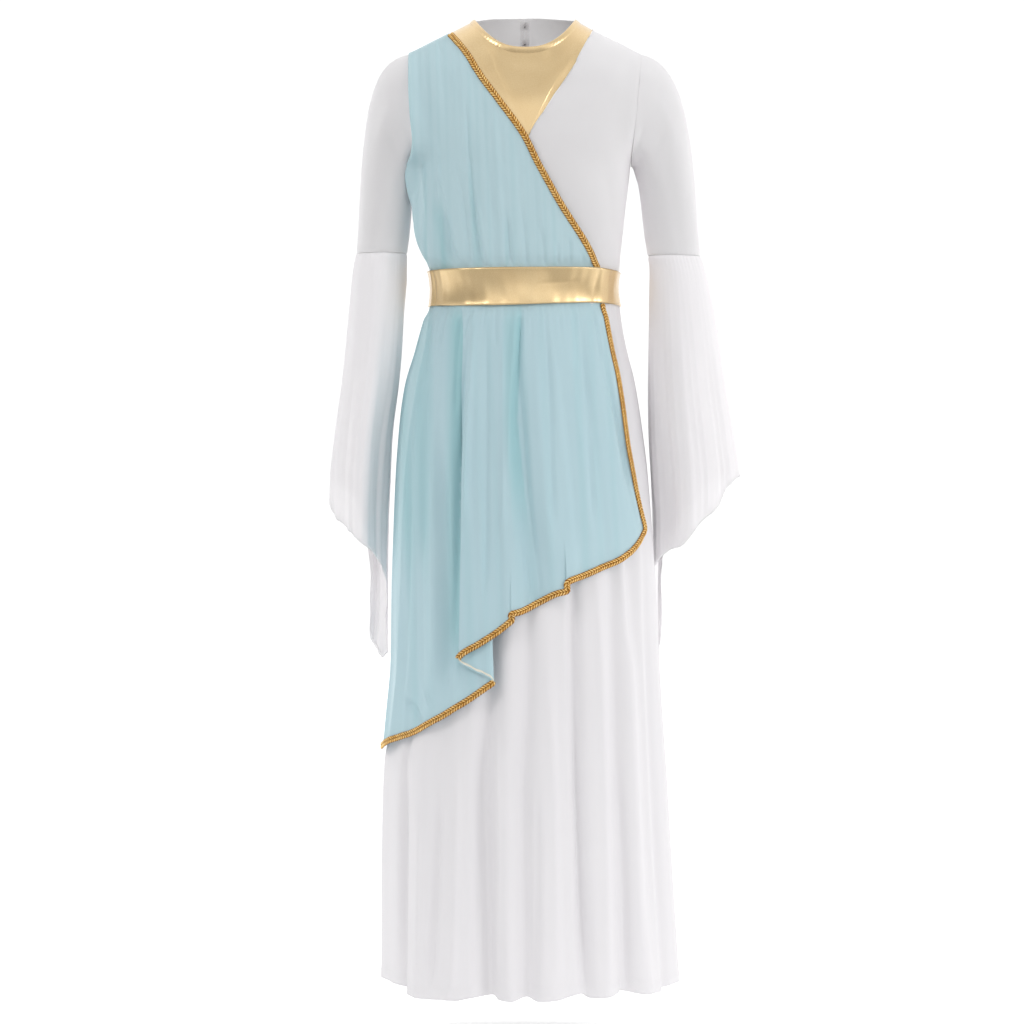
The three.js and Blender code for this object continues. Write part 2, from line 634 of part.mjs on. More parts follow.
// A flat braid along a path on a surface: at gives the point, the way out and the way along.
function strip(count, width, thick, frameAt) {
  const g = [[], []];
  const normals = [];
  for (let i = 0; i <= count; i++) {
    const { point, normal, along } = frameAt(i / count);
    const across = new THREE.Vector3().crossVectors(normal, along).normalize();
    g[0].push(point.clone().addScaledVector(across, -width / 2));
    g[1].push(point.clone().addScaledVector(across, width / 2));
    normals.push(normal);
  }
  return wall(g, thick, { trim: (n, i) => n.copy(normals[i]).multiplyScalar(Math.sign(n.dot(normals[i])) || 1) });
}
function along(frame, s, e = 0.004) {
  const a = frame(Math.max(0, s - e)).point, b = frame(Math.min(1, s + e)).point;
  return b.sub(a).normalize();
}
const bodiceBraidFrame = (s) => {
  const z = -14 + (WAIST.top + 3 + 14) * s;
  const x = crossEdge(z);
  const { point, normal } = bodiceOut(-1, x, Math.min(z, shoulder(x) - 2), 0);
  const share = clamp((z - WAIST.top) / 255, 0, 1);
  return { point: point.addScaledVector(normal, clearMiddle(share) + 0.45 + 1.6 + BRAID.thick / 2), normal };
};
piece(
  "bodice_braid",
  strip(22, BRAID.width, BRAID.thick, (s) => ({
    ...bodiceBraidFrame(s),
    along: along(bodiceBraidFrame, s),
  })),
  "braid",
);

// ---------------------------------------------------------------- gold waistband
const BAND_COLS = 28;
const bandGrid = grid(2, BAND_COLS - 1, (s, v, i) => {
  const angle = (i * 360) / BAND_COLS;
  const z = WAIST.bottom + 0.4 + (WAIST.top - WAIST.bottom - 0.8) * v;
  const full = 1.6 + 1.2 * Math.sin(Math.PI * v);
  const c = Math.cos(rad(angle)), sn = Math.sin(rad(angle));
  return new THREE.Vector3(
    (WAIST.half + full) * sn,
    -((c > 0 ? 78 : 72) + full) * c,
    z,
  );
});
piece("gold_waistband", wall(bandGrid, 1.8, { round: true, trim: (n, i, j, c, rows) => { if (j === 0 || j === rows - 1) n.z = 0; } }), "foil");

// ---------------------------------------------------------------- skirts
const SKIRT_TOP = WAIST.bottom - 0.3;
// Columns of a skirt panel run down the middle of each fold and half way between two folds.
function foldColumns(list, from, to) {
  const kept = list.filter((f) => f.waist > from && f.waist < to);
  const all = [{ waist: from, hem: from }, ...kept, { waist: to, hem: to }];
  return all.flatMap((f, i) =>
    i === 0 ? [f] : [{ waist: (f.waist + all[i - 1].waist) / 2, hem: (f.hem + all[i - 1].hem) / 2 }, f],
  );
}
function skirtPanel(from, to, rows) {
  const columns = foldColumns(SKIRT_FOLDS, from, to);
  const cols = columns.length - 1;
  return grid(rows, cols, (s, v, i) => {
    const angle = columns[i].waist + (columns[i].hem - columns[i].waist) * (1 - v);
    const bottom = hemEdge(angle);
    const z = bottom + (SKIRT_TOP - bottom) * v ** 0.9;
    const p = skirt(angle, z);
    if (i === 0 || i === cols) p.y = from < 0 ? -SEAM : SEAM;
    return p;
  });
}
const seamTrim = (n, i, j, cols, rows) => {
  if (i === 0 || i === cols - 1) n.y = 0;
  if (j === 0 || j === rows - 1) n.z = 0;
};
piece("skirt_front", wall(skirtPanel(-90, 90, 7), WALL, { trim: seamTrim }), "jersey");
piece("skirt_back", wall(skirtPanel(90, 270, 7), WALL, { trim: seamTrim }), "jersey");

const overFront = column(OVER_CLEAR, "z", "front");
const overSide = column(OVER_CLEAR, "z", "side");
const overEdge = column(OVER_EDGE, "z", "angle");
const overAngle = column(OVER, "share", "angle");
const overHem = column(OVER, "share", "hem");
const overLift = column(OVER, "share", "lift");
const OVER_TOP = SKIRT_TOP - 0.5;
// The overskirt: share across the cloth from the hip to the free edge, drop from the waist to the hem.
function overskirt(share, drop) {
  const bottom = overHem(share);
  const z = OVER_TOP + (bottom - OVER_TOP) * drop;
  // at the waist the pleat is drawn together, and it opens towards the hem
  const even = -100 + 153.5 * share;
  const open = clamp(drop, 0, 1) ** 0.75;
  const edge = overEdge(z), hangs = overAngle(share);
  let angle = even + (hangs - even) * open;
  if (share > 0.85) angle += ((share - 0.85) / 0.15) ** 2 * (edge - (even + (hangs - even) * open));
  const toSide = clamp(-angle / 90, 0, 1) ** 2;
  const off =
    overFront(z) +
    (overSide(z) - overFront(z)) * toSide +
    overLift(share) * open ** 0.7 +
    folds(OVER_FOLDS, angle, z, bottom - 200);
  // it hangs on the ridges of the skirt and bridges its troughs
  const s = skirt(angle, z, 0), flat = folds(SKIRT_FOLDS, angle, z, HEM);
  const c = Math.cos(rad(angle)), sn = Math.sin(rad(angle));
  const half = skirtHalf(z), deep = c > 0 ? skirtFront(z) : skirtBack(z);
  const out = new THREE.Vector3(sn / half, -c / deep, 0).normalize();
  const p = s.addScaledVector(out, off - Math.min(0, flat));
  return { point: p, normal: out };
}
const OVER_COLS = 30, OVER_ROWS = 6;
const overShares = Array.from({ length: OVER_COLS + 1 }, (_, i) => {
  const even = i / OVER_COLS;
  return even;
});
// more columns round the pleat
OVER.filter((o) => o.share > 0.44 && o.share < 0.6).forEach((o) => {
  let k = 0;
  overShares.forEach((s, i) => {
    if (Math.abs(s - o.share) < Math.abs(overShares[k] - o.share)) k = i;
  });
  if (!overShares.includes(o.share)) overShares[k] = o.share;
});
overShares.sort((a, b) => a - b);
const overGrid = Array.from({ length: OVER_ROWS + 1 }, (_, j) =>
  overShares.map((s) => overskirt(s, 1 - (j / OVER_ROWS) ** 0.95).point),
);
piece(
  "aqua_overskirt",
  wall(overGrid, 0.9, { trim: (n, i, j, cols, rows) => { if (j === rows - 1) n.z = 0; } }),
  "aqua",
);

// Its braid runs down the free edge and along the hem, to the pleat and on from the pleat.
function overBraid(name, count, from, to, edgeCount = 0) {
  const total = count + edgeCount;
  const frame = (s) => {
    const k = s * total;
    let share, drop;
    if (k < edgeCount) {
      share = 0.994;
      drop = 0.012 + 0.97 * (k / edgeCount);
    } else {
      share = from + ((to - from) * (k - edgeCount)) / count;
      drop = 0.994;
    }
    const { point, normal } = overskirt(share, drop);
    const lies = 0.45 + 1 + 1.4 * clamp(share / 0.2, 0, 1); // it lies closest at the hip
    return { point: point.addScaledVector(normal, lies + BRAID.thick / 2), normal };
  };
  return piece(
    name,
    strip(total, BRAID.width, BRAID.thick, (s) => ({ ...frame(s), along: along(frame, s, 0.006) })),
    "braid",
  );
}
overBraid("overskirt_braid_upper", 26, 0.994, 0.572, 14);
overBraid("overskirt_braid_lower", 20, 0.462, 0.006);

// ---------------------------------------------------------------- sleeves
const RING = 18, UPPER_ROWS = 6, BELL_ROWS = 7, BELL_RING = 22;
for (const [side, S] of Object.entries(SLEEVES)) {
  const sign = S.sign, cuff = S.cuff;
  const middle = (cuff.inner + cuff.outer) / 2, half = (cuff.outer - cuff.inner) / 2;
  const low = UNDERARM + 1.5, high = shoulder(SHOULDER.tip);
  const cuffPoint = (turn, z) =>
    new THREE.Vector3(middle + half * Math.cos(turn), cuff.back - cuff.deep * Math.sin(turn), z);
  // The armhole, from the shoulder tip (0) by the front (90) to the underarm (180) and up the back.
  const armhole = (turn) => {
    const z = (low + high) / 2 + ((high - low) / 2) * Math.cos(turn);
    const face = Math.sin(turn) >= 0 ? -1 : 1;
    const p = bodice(face, bodiceEdge(z), z);
    if (Math.abs(Math.sin(turn)) < 1e-6) p.y = 0;
    const under = (1 - Math.cos(turn)) / 2;
    p.x += 0.6 + 1.6 * under ** 6;
    return p;
  };
  const upper = grid(UPPER_ROWS, RING - 1, (_, v, i) => {
    const turn = (i / RING) * Math.PI * 2;
    const top = (1 + Math.cos(turn)) / 2, under = 1 - top;
    const p0 = armhole(turn), p3 = cuffPoint(turn, cuff.z + 0.35);
    const p1 = p0.clone().add(new THREE.Vector3(62 * top + 7 * under + 6 * Math.sin(turn) ** 2, 0, -11 * top - 6 * under ** 0.5 * top ** 0.5 + 2 * under));
    p1.y += (p3.y - p0.y) * 0.2;
    const p2 = p3.clone().add(new THREE.Vector3(-10 * top - 7 * under, 0, 108 * top + 42 * under));
    const w = 1 - v;
    const q = new THREE.Vector3()
      .addScaledVector(p0, w ** 3)
      .addScaledVector(p1, 3 * w * w * v)
      .addScaledVector(p2, 3 * w * v * v)
      .addScaledVector(p3, v ** 3);
    q.x *= sign;
    return q;
  });
  piece(
    "sleeve_upper_" + side,
    wall(upper, WALL, {
      round: true,
      flip: sign < 0,
      trim: (n, i, j, cols, rows) => {
        const under = (1 - Math.cos((i / RING) * Math.PI * 2)) / 2;
        if (j === 0) {
          if (under > 0.93) n.set(-sign, 0, 0);
          else n.x = 0;
        }
        if (j === rows - 1) n.z = 0;
      },
    }),
    "jersey",
  );

  const inner = column(S.bell, "z", "inner"), outer = column(S.bell, "z", "outer");
  const outerBack = column(S.bell, "z", "outerBack");
  const deep = column(S.bell, "z", "deep"), back = column(S.bell, "z", "back");
  const hem = column(S.hem, "round", "z");
  const bell = grid(BELL_ROWS, BELL_RING - 1, (_, v, i) => {
    const round = (i / BELL_RING) * 360; // 0 outer, 90 back, 180 inner, 270 front
    const z = cuff.z - 0.35 + (hem(round) - cuff.z + 0.35) * v ** 1.05;
    const c = Math.cos(rad(round)), s = Math.sin(rad(round));
    const reach = outer(z) + (outerBack(z) - outer(z)) * clamp(s / 0.6, 0, 1);
    const m = (inner(z) + reach) / 2, h = (reach - inner(z)) / 2;
    return new THREE.Vector3(sign * (m + h * c), back(z) + deep(z) * s, z);
  });
  piece(
    "sleeve_bell_" + side,
    wall(bell, 1, {
      round: true,
      flip: sign > 0,
      trim: (n, i, j) => {
        if (j === 0) n.z = 0;
      },
    }),
    "chiffon",
  );
}

export default costume;
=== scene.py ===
import math

import bpy
import numpy as np
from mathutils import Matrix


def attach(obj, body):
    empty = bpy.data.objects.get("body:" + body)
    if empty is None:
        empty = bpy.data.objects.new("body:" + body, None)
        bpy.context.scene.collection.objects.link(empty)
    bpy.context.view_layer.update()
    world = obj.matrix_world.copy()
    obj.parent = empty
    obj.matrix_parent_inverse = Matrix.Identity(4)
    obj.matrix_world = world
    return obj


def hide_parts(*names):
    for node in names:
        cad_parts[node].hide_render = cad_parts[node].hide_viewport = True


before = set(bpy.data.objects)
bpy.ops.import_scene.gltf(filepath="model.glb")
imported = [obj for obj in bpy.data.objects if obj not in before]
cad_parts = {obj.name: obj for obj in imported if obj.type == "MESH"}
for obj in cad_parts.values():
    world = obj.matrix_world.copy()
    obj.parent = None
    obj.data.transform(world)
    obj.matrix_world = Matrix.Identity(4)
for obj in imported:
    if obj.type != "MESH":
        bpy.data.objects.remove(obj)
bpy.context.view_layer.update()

# ------------------------------------------------------------------ sizes and tables
WAIST_TOP, WAIST_BOTTOM, WAIST_HALF = -298.0, -342.0, 113.0
SHOULDER_AT, SHOULDER_SLOPE, SHOULDER_TIP, SHOULDER_ROUND = 32.0, 0.508, 140.0, 60.0
UNDERARM = -175.0
NECK_HALF, NECK_FRONT, NECK_BACK, NECK_POWER, NECK_BIND = 60.0, -36.5, 9.0, 2.6, 6.2
NECK_CUT = NECK_HALF + NECK_BIND
SEAM = 0.25
HEM = -1153.0
SKIRT_TOP = WAIST_BOTTOM - 0.3
OVER_TOP = SKIRT_TOP - 0.5
POWER = 2.4
BUTTON_Z = (0.5, -20.0)


def table(names, *rows):
    return {n: np.array([r[k] for r in rows], float) for k, n in enumerate(names.split())}


BODICE = table(
    "z front back",
    (-300, 78, 72), (-245, 83, 77), (-200, 89, 83), (-150, 91, 87), (-110, 87, 85),
    (-70, 75, 76), (-36, 62, 66), (0, 52, 57), (34, 46, 50),
)
PAST_ARMHOLE = table(
    "z more",
    (-175, 0), (-172, 0.6), (-167, 2.6), (-160, 6.5), (-150, 12.5), (-135, 19), (-120, 23.5), (-80, 30), (-40, 34),
    (34, 36),
)
SKIRT = table(
    "z half front back shift",
    (-342, 113.5, 78, 72, 0), (-362, 116, 82, 76, 0), (-394, 121.5, 88, 83, 0.5), (-430, 130, 95, 90, 1),
    (-484, 139, 104, 100, 1), (-540, 145.5, 111, 108, 1.5), (-640, 151.5, 121, 118, 2.5),
    (-772, 157.5, 132, 128, 3), (-850, 164, 138, 134, 1), (-890, 168.5, 141, 137, -1),
    (-1012, 173.5, 148, 144, 1), (-1090, 176, 152, 149, 3.5), (-1160, 178.5, 157, 154, 5.5),
)
# folds: middle angle at waist and hem (0 centre front, 90 the wearer's left), half width, depth, start height
SKIRT_FOLDS = table(
    "waist hem wide deep from",
    (-76, -76, 13, -5, -560), (-57, -57.5, 3.4, -9, -640), (-45, -45, 10, 6, -460), (-30, -31, 7, 4, -520),
    (-18, -16, 6.2, -17, -400), (-8, -8, 5, 5, -430), (0, -1, 4.4, -11, -600), (9, 8, 7, 6, -480),
    (20, 22.5, 3.8, -9, -380), (31, 30, 6, 4, -460), (42, 41, 7, -13, -400), (52, 51, 6, 5, -480),
    (66, 66, 5, -8, -520), (78, 78, 7, 4, -500),
    (96, 97, 10, 4, -520), (110, 112, 8, -11, -420), (124, 127, 10, 6, -470), (140, 141, 8, -13, -390),
    (156, 157, 9, 6, -500), (171, 172, 7, -11, -400), (187, 186, 10, 7, -440), (203, 204, 8, -13, -380),
    (219, 217, 9, 6, -470), (236, 234, 8, -10, -400), (252, 251, 10, 5, -520),
)
HEM_EDGE = table(
    "angle z",
    (-90, -1145), (-62, -1147), (-58, -1149), (-55, -1155), (-45, -1159), (-29, -1159), (-24, -1156),
    (-15, -1152), (-12, -1157), (-7, -1158), (-1.3, -1153), (3, -1158), (10, -1156.5), (20, -1150),
    (24, -1155.5), (30, -1155), (40, -1150), (49, -1155), (62, -1155), (68, -1151), (80, -1147), (90, -1148),
    (110, -1151), (140, -1156), (156, -1152), (172, -1157), (187, -1154), (204, -1158), (220, -1153),
    (240, -1154), (270, -1145),
)
OVER_CLEAR = table(
    "z front side",
    (-342, 2.4, 2.6), (-356, 4.5, 6), (-394, 6, 11), (-440, 6.5, 14), (-520, 7, 14), (-620, 7.5, 13),
    (-770, 8, 9), (-880, 8, 4),
)
OVER_EDGE = table("z angle", (-342, 53.5), (-500, 53.5), (-556, 56.6), (-592, 61), (-612, 64.5))
# the overskirt across its cloth: where it hangs at the hem, the height of the hem, and its layer at the pleats
OVER = table(
    "share angle hem lift",
    (0, -100, -870, 0), (0.05, -91, -872.5, 0), (0.12, -78, -869.5, 0), (0.19, -65, -861, 0), (0.27, -50, -850, 0),
    (0.35, -37, -834, 0), (0.41, -26, -815, 0), (0.455, -17, -797, 0.6), (0.475, -13.6, -789, 2.6),
    (0.49, -15, -783, 5), (0.525, -21, -775, 5.6), (0.55, -26.4, -767, 7), (0.565, -28, -763, 9.5),
    (0.58, -26.6, -758, 11), (0.615, -19.2, -745, 9), (0.65, -13, -733, 6.6), (0.672, -8.6, -723, 4.6),
    (0.688, -6.2, -716, 4.4), (0.696, -6.8, -711, 5.4), (0.71, -3.2, -708, 4.0), (0.75, 4.5, -697, 2.2),
    (0.785, 12.2, -686, 1.4), (0.8, 16.6, -682.5, 1.6), (0.808, 16.0, -675, 3.2), (0.818, 17.8, -671, 3.0),
    (0.85, 24.6, -665, 0.9), (0.88, 31, -657, 0.3), (0.91, 37, -648.5, 0), (0.94, 43, -635.5, 0),
    (0.965, 50, -621.5, 0), (0.985, 57, -611.5, 0), (1, 64.5, -604, 0),
)
OVER_WAIST = table(
    "share angle",
    (0, -100), (0.3, -68), (0.44, -51), (0.474, -46.5), (0.565, -39.6), (0.62, -31), (0.75, 0), (1, 53.5),
)
OVER_FOLDS = table(
    "waist hem wide deep from",
    (-72, -70, 9, 5, -360), (-52, -50, 9, -5, -380), (-38, -36, 8, 4, -360), (3, 6, 6, -6, -350),
    (14, 16, 8, 5, -380), (32, 33, 9, -3, -360), (46, 47, 8, 3, -400),
)
# how far the overlay puffs past the side of the bodice, where along its width, and how far forward
OVERLAY_PUFF = table(
    "z out share forward",
    (-300, 1, 0.10, 0), (-286, 7, 0.10, 2), (-262, 13, 0.10, 5), (-238, 16.5, 0.10, 7), (-214, 15.5, 0.10, 8),
    (-190, 13.5, 0.095, 8), (-166, 11.5, 0.08, 8), (-142, 8.5, 0.06, 6), (-119, 7.5, 0.05, 5), (-95, 6.5, 0.05, 3),
    (-71, 4.5, 0.05, 2), (-47, 2.5, 0.05, 1), (-30, 0, 0.05, 0),
)
OVERLAY_CLEAR = table(
    "up middle side",
    (0, 2.2, 2.2), (0.05, 5, 8), (0.13, 6.5, 14), (0.24, 5.4, 16.5), (0.34, 4.2, 12), (0.43, 4, 7),
    (0.52, 3.8, 5.4), (0.6, 3.5, 3.6), (0.8, 2.8, 2.6), (1, 2.2, 2.2),
)
CROSS_EDGE = table(
    "z x",
    (14, -113), (-21.6, -86), (-46, -68), (-70, -53.7), (-93, -37.3), (-112, -23), (-129.5, -9.9), (-146, 1.2),
    (-173, 15), (-197, 28), (-220, 41), (-243, 55), (-266, 69), (-290, 82), (-303, 89.5),
)
YOKE_EDGE = table(
    "z x",
    (14, 92), (-12, 80.4), (-46, 64.7), (-71, 50), (-94, 34.5), (-113, 22.6), (-133, 10.3), (-150, 0),
)
SLEEVES = {
    "left": {
        "sign": 1,
        "cuff": (-281, 147.5, 211, 35, 4),
        "bell": table(
            "z inner outer outerBack deep back",
            (-281, 147.5, 211, 211, 35, 4), (-300, 149.5, 217, 217, 38, 4), (-350, 148.5, 228, 228, 45, 5),
            (-430, 147.5, 241, 240, 54, 8), (-500, 150, 252, 244, 59, 12), (-550, 153, 258, 228, 59, 16),
            (-600, 156, 256, 198, 54, 22), (-650, 156, 246, 176, 42, 34), (-700, 155, 236, 177, 27, 44),
            (-770, 155, 230, 182, 18, 48),
        ),
        "hem": table(
            "round z",
            (0, -541), (30, -552), (55, -580), (72, -622), (90, -722), (106, -754), (140, -760), (158, -750),
            (178, -715), (200, -655), (225, -636), (250, -628), (275, -600), (300, -582), (318, -556),
            (340, -544), (360, -541),
        ),
    },
    "right": {
        "sign": -1,
        "cuff": (-278, 141.5, 203, 35, 6),
        "bell": table(
            "z inner outer outerBack deep back",
            (-278, 141.5, 203, 203, 35, 6), (-300, 141.5, 207, 207, 38, 7), (-350, 145, 212.5, 212, 44, 11),
            (-394, 147.5, 217.5, 216, 49, 17), (-430, 151, 221.5, 219, 52, 21), (-500, 160.5, 230, 222, 55, 24),
            (-550, 163.5, 234, 216, 54, 27), (-600, 166, 234, 203, 48, 32), (-650, 167, 230, 199, 38, 38),
            (-700, 167, 226, 203, 28, 43), (-770, 167, 224, 217, 20, 46),
        ),
        "hem": table(
            "round z",
            (0, -549), (30, -566), (55, -600), (75, -688), (90, -738), (115, -754), (145, -764), (170, -748),
            (190, -700), (215, -652), (240, -636), (270, -622), (300, -606), (325, -594), (343, -565),
            (360, -549),
        ),
    },
}

# Creases: a soft trough (deep < 0) or ridge from one point to another, across and up, with its half width,
# bend sideways at the middle and how sharp it is.
CREASE = "x0 z0 x1 z1 wide deep bend power"
OVERLAY_CREASES = table(
    CREASE,
    (-70, -96, -49, -302, 2.6, -1.7, -3, 1.5), (-42, -176, -34.5, -302, 4.2, -1.1, 1, 1.8),
    (-20.5, -238, -16.8, -303, 2.0, -1.4, 0, 1.4), (51, -262, 53.5, -303, 1.8, -1.1, 0, 1.4),
    (-104, -190, -84, -290, 4.6, -3.2, 2, 1.7), (-91, -262, -72, -304, 2.4, -1.4, 0, 1.5),
    (-118, -205, -112, -292, 2.6, -3.0, -2, 1.4), (-124, -190, -120, -262, 1.8, 1.5, -2, 1.6),
    (-107, -140, -101, -240, 4.0, -1.7, 1, 1.8), (-82, -170, -62, -303, 3.6, -1.2, 3, 1.8),
    (-58, -210, -43, -303, 3.0, 0.9, 1, 1.8), (-28, -226, -26, -303, 3.0, 0.7, 0, 1.8),
    (-4, -226, 3, -303, 3.2, -0.9, 0, 1.7), (18, -250, 24, -303, 2.4, -0.9, 0, 1.6),
    (36, -266, 39, -303, 2.2, -0.7, 0, 1.6), (66, -280, 68.5, -303, 2.0, -0.9, 0, 1.6),
    (-124, -150, -121, -285, 1.6, 2.0, 0, 1.4), (-119.5, -165, -116, -288, 1.3, -2.6, 0, 1.3),
    (-113, -180, -108, -292, 2.0, 1.7, 0, 1.5), (-64, -120, -56, -240, 4.0, -0.9, 1, 1.8),
    (-38, -110, -30, -240, 4.0, 0.8, 1, 1.8), (-96, -232, -94, -303, 2.0, 1.0, 1, 1.8), (-128, -120, -112, -214, 5.0, -1.2, 2, 2),
    (-95, -60, -88, -170, 9.0, -0.8, 2, 2), (-52, -60, -58, -150, 10, -0.5, 2, 2),
)
OVER_CREASES = table(
    CREASE,
    (-72, -338, -79, -470, 2.8, -1.6, -2, 1.5), (-61, -338, -69, -386, 2.0, -1.1, 0, 1.5),
    (-3, -338, -9, -500, 2.2, -3.2, -1.5, 1.3), (-11, -345, -19, -540, 4.4, 2.2, -1, 1.8),
    (-8.5, -455, 7, -650, 3.4, -3.2, 1, 1.5), (-9, -400, 14, -700, 7.5, -4.6, -5, 1.7),
    (9, -380, 26, -640, 9.0, 2.4, -3, 2), (76, -338, 86, -412, 2.4, -1.2, 1, 1.5),
    (84, -390, 119, -560, 5.0, -1.7, 3, 1.8), (-35, -338, -33, -392, 2.0, -0.9, 0, 1.5),
    (-107, -338, -113, -430, 2.4, -1.5, 1, 1.5), (-113, -400, -116, -640, 6.0, -2.0, 3, 1.8),
    (-97, -480, -88, -800, 7.0, -4.2, 2, 1.8), (-107, -470, -104, -800, 5.0, 1.6, 2, 1.9),
    (-150, -560, -163, -800, 3.2, 1.8, 1, 1.6), (-138, -430, -150, -820, 7.0, -2.0, -2, 1.9),
    (2, -580, 4, -705, 4.6, -2.4, 1, 1.7), (-55, -350, -66, -600, 4.0, 2.4, -2, 1.8),
    (-64, -372, -82, -760, 4.6, -4.6, -2, 1.6), (40, -420, 52, -640, 11.0, -1.0, 2, 2),
    (55, -338, 60, -420, 3.4, -0.8, 1, 1.8), (-92, -338, -95, -390, 2.2, -1.0, 0, 1.6),
    (-138, -800, -118, -838, 3.6, -1.8, 2, 1.8), (-118, -790, -104, -826, 3.4, 1.2, 0, 1.9),
    (24, -360, 31, -600, 3.4, -1.5, 1, 1.7), (62, -345, 78, -600, 4.2, -1.7, 2, 1.8),
    (96, -430, 124, -600, 3.6, -1.5, 2, 1.7), (-44, -345, -42, -700, 3.2, -1.6, 1, 1.7),
    (-26, -350, -24, -620, 3.0, 1.4, 0, 1.8), (-126, -480, -136, -800, 3.4, -1.6, 1, 1.7),
)
SKIRT_CREASES = table(
    CREASE,
    (52, -600, 67, -1148, 4.4, -2.6, -2, 1.7), (100, -350, 117, -520, 3.4, -1.5, 2, 1.7),
    (108, -420, 128, -760, 6.0, -2.2, 2, 2), (122, -560, 148, -1120, 7.0, -2.6, 3, 2),
    (-100, -900, -112, -1150, 5.0, -2.4, 2, 1.8), (-140, -880, -148, -1150, 6.0, -2.0, 2, 2),
    (-126, -930, -130, -1150, 4.0, 1.6, 2, 2), (28, -760, 38, -1150, 6.0, 1.6, 2, 2),
    (84, -640, 97, -1150, 5.0, 1.8, 3, 2), (110, -880, 120, -1150, 4.0, -1.6, 1, 1.8),
    (-36, -800, -34, -1150, 4.0, 1.8, 2, 1.9), (-80, -860, -86, -1150, 5.0, 1.6, 2, 2),
    (-58, -1000, -58, -1152, 3.4, -1.6, 1, 1.7), (14, -900, 12, -1150, 3.6, -1.4, 1, 1.7),
    (92, -350, 95, -390, 2.2, -1.2, 0, 1.6), (104, -346, 108, -410, 2.6, -1.4, 0, 1.6),
)
BACK_CREASES = table(
    CREASE,
    (-70, -345, -84, -560, 3.6, -2.0, 2, 1.7), (-34, -345, -42, -700, 5.0, -2.2, -2, 1.8),
    (6, -345, 8, -480, 3.0, -1.8, 1, 1.6), (42, -345, 52, -760, 5.0, -2.2, 2, 1.8),
    (78, -345, 92, -520, 3.4, -1.8, 2, 1.7), (-110, -520, -128, -1100, 7.0, -2.4, 3, 2),
    (104, -600, 120, -1130, 7.0, -2.4, 2, 2), (-12, -700, -14, -1150, 6.0, 1.8, 2, 2),
    (24, -820, 28, -1150, 5.0, -2.0, 2, 1.8), (-60, -900, -66, -1150, 5.0, 1.8, 2, 2),
)

# ------------------------------------------------------------------ functions of the sections


def column(t, key, value):
    """A smooth function through one column of a table, which never overshoots its rows."""
    order = np.argsort(t[key])
    x, y = t[key][order], t[value][order]
    d = np.diff(y) / np.diff(x)
    m = np.empty_like(y)
    m[0], m[-1] = d[0], d[-1]
    prod, total = d[:-1] * d[1:], d[:-1] + d[1:]
    m[1:-1] = np.where(prod <= 0, 0, 2 * prod / np.where(total == 0, 1, total))

    def at(v):
        v = np.clip(np.asarray(v, float), x[0], x[-1])
        i = np.clip(np.searchsorted(x, v, side="right") - 1, 0, len(x) - 2)
        h = x[i + 1] - x[i]
        f = (v - x[i]) / h
        return (
            y[i] * (1 + 2 * f) * (1 - f) ** 2 + m[i] * h * f * (1 - f) ** 2
            + y[i + 1] * f * f * (3 - 2 * f) + m[i + 1] * h * f * f * (f - 1)
        )

    return at


bodice_front, bodice_back = column(BODICE, "z", "front"), column(BODICE, "z", "back")
past_armhole = column(PAST_ARMHOLE, "z", "more")
cross_edge, yoke_edge = column(CROSS_EDGE, "z", "x"), column(YOKE_EDGE, "z", "x")
skirt_half, skirt_front = column(SKIRT, "z", "half"), column(SKIRT, "z", "front")
skirt_back, skirt_shift = column(SKIRT, "z", "back"), column(SKIRT, "z", "shift")
hem_edge = column(HEM_EDGE, "angle", "z")
over_front, over_side = column(OVER_CLEAR, "z", "front"), column(OVER_CLEAR, "z", "side")
over_edge, over_waist = column(OVER_EDGE, "z", "angle"), column(OVER_WAIST, "share", "angle")
over_angle, over_hem, over_lift = (column(OVER, "share", k) for k in ("angle", "hem", "lift"))
OVER_ABOVE = {k: v[~np.isin(OVER["share"], (0.672, 0.688, 0.696, 0.71, 0.8, 0.808, 0.818))] for k, v in OVER.items()}
angle_above, lift_above = column(OVER_ABOVE, "share", "angle"), column(OVER_ABOVE, "share", "lift")
puff_out, puff_share, puff_forward = (column(OVERLAY_PUFF, "z", k) for k in ("out", "share", "forward"))
clear_middle, clear_side = column(OVERLAY_CLEAR, "up", "middle"), column(OVERLAY_CLEAR, "up", "side")


def clip(v, a, b):
    return np.minimum(np.maximum(v, a), b)


def smooth(t):
    t = clip(t, 0, 1)
    return t * t * (3 - 2 * t)


def wander(t, seed, waves=5):
    """A smooth uneven line between about -1 and 1, the same each time."""
    rng = np.random.default_rng(seed)
    out = 0
    for k in range(waves):
        out = out + rng.uniform(0.5, 1) * np.sin(t * rng.uniform(0.6, 1.0) * (k + 1) + rng.uniform(0, 2 * math.pi))
    return out / (0.75 * waves ** 0.75)


def field(a, b, seed, waves=7):
    """A smooth uneven surface between about -1 and 1."""
    rng = np.random.default_rng(seed)
    out = 0
    for k in range(waves):
        w = rng.uniform(0.5, 1.6)
        turn = rng.uniform(0, math.pi)
        out = out + np.sin(w * (a * math.cos(turn) + b * math.sin(turn)) * 2 * math.pi + rng.uniform(0, 6.3))
    return out / math.sqrt(waves)


def shoulder(x):
    return SHOULDER_AT - SHOULDER_SLOPE * np.abs(x)


def bodice_edge(z):
    return WAIST_HALF + (SHOULDER_TIP - WAIST_HALF) * (z - WAIST_TOP) / (shoulder(SHOULDER_TIP) - WAIST_TOP)


def bodice_reach(z):
    return bodice_edge(np.minimum(z, UNDERARM)) + np.where(z > UNDERARM, past_armhole(z), 0)


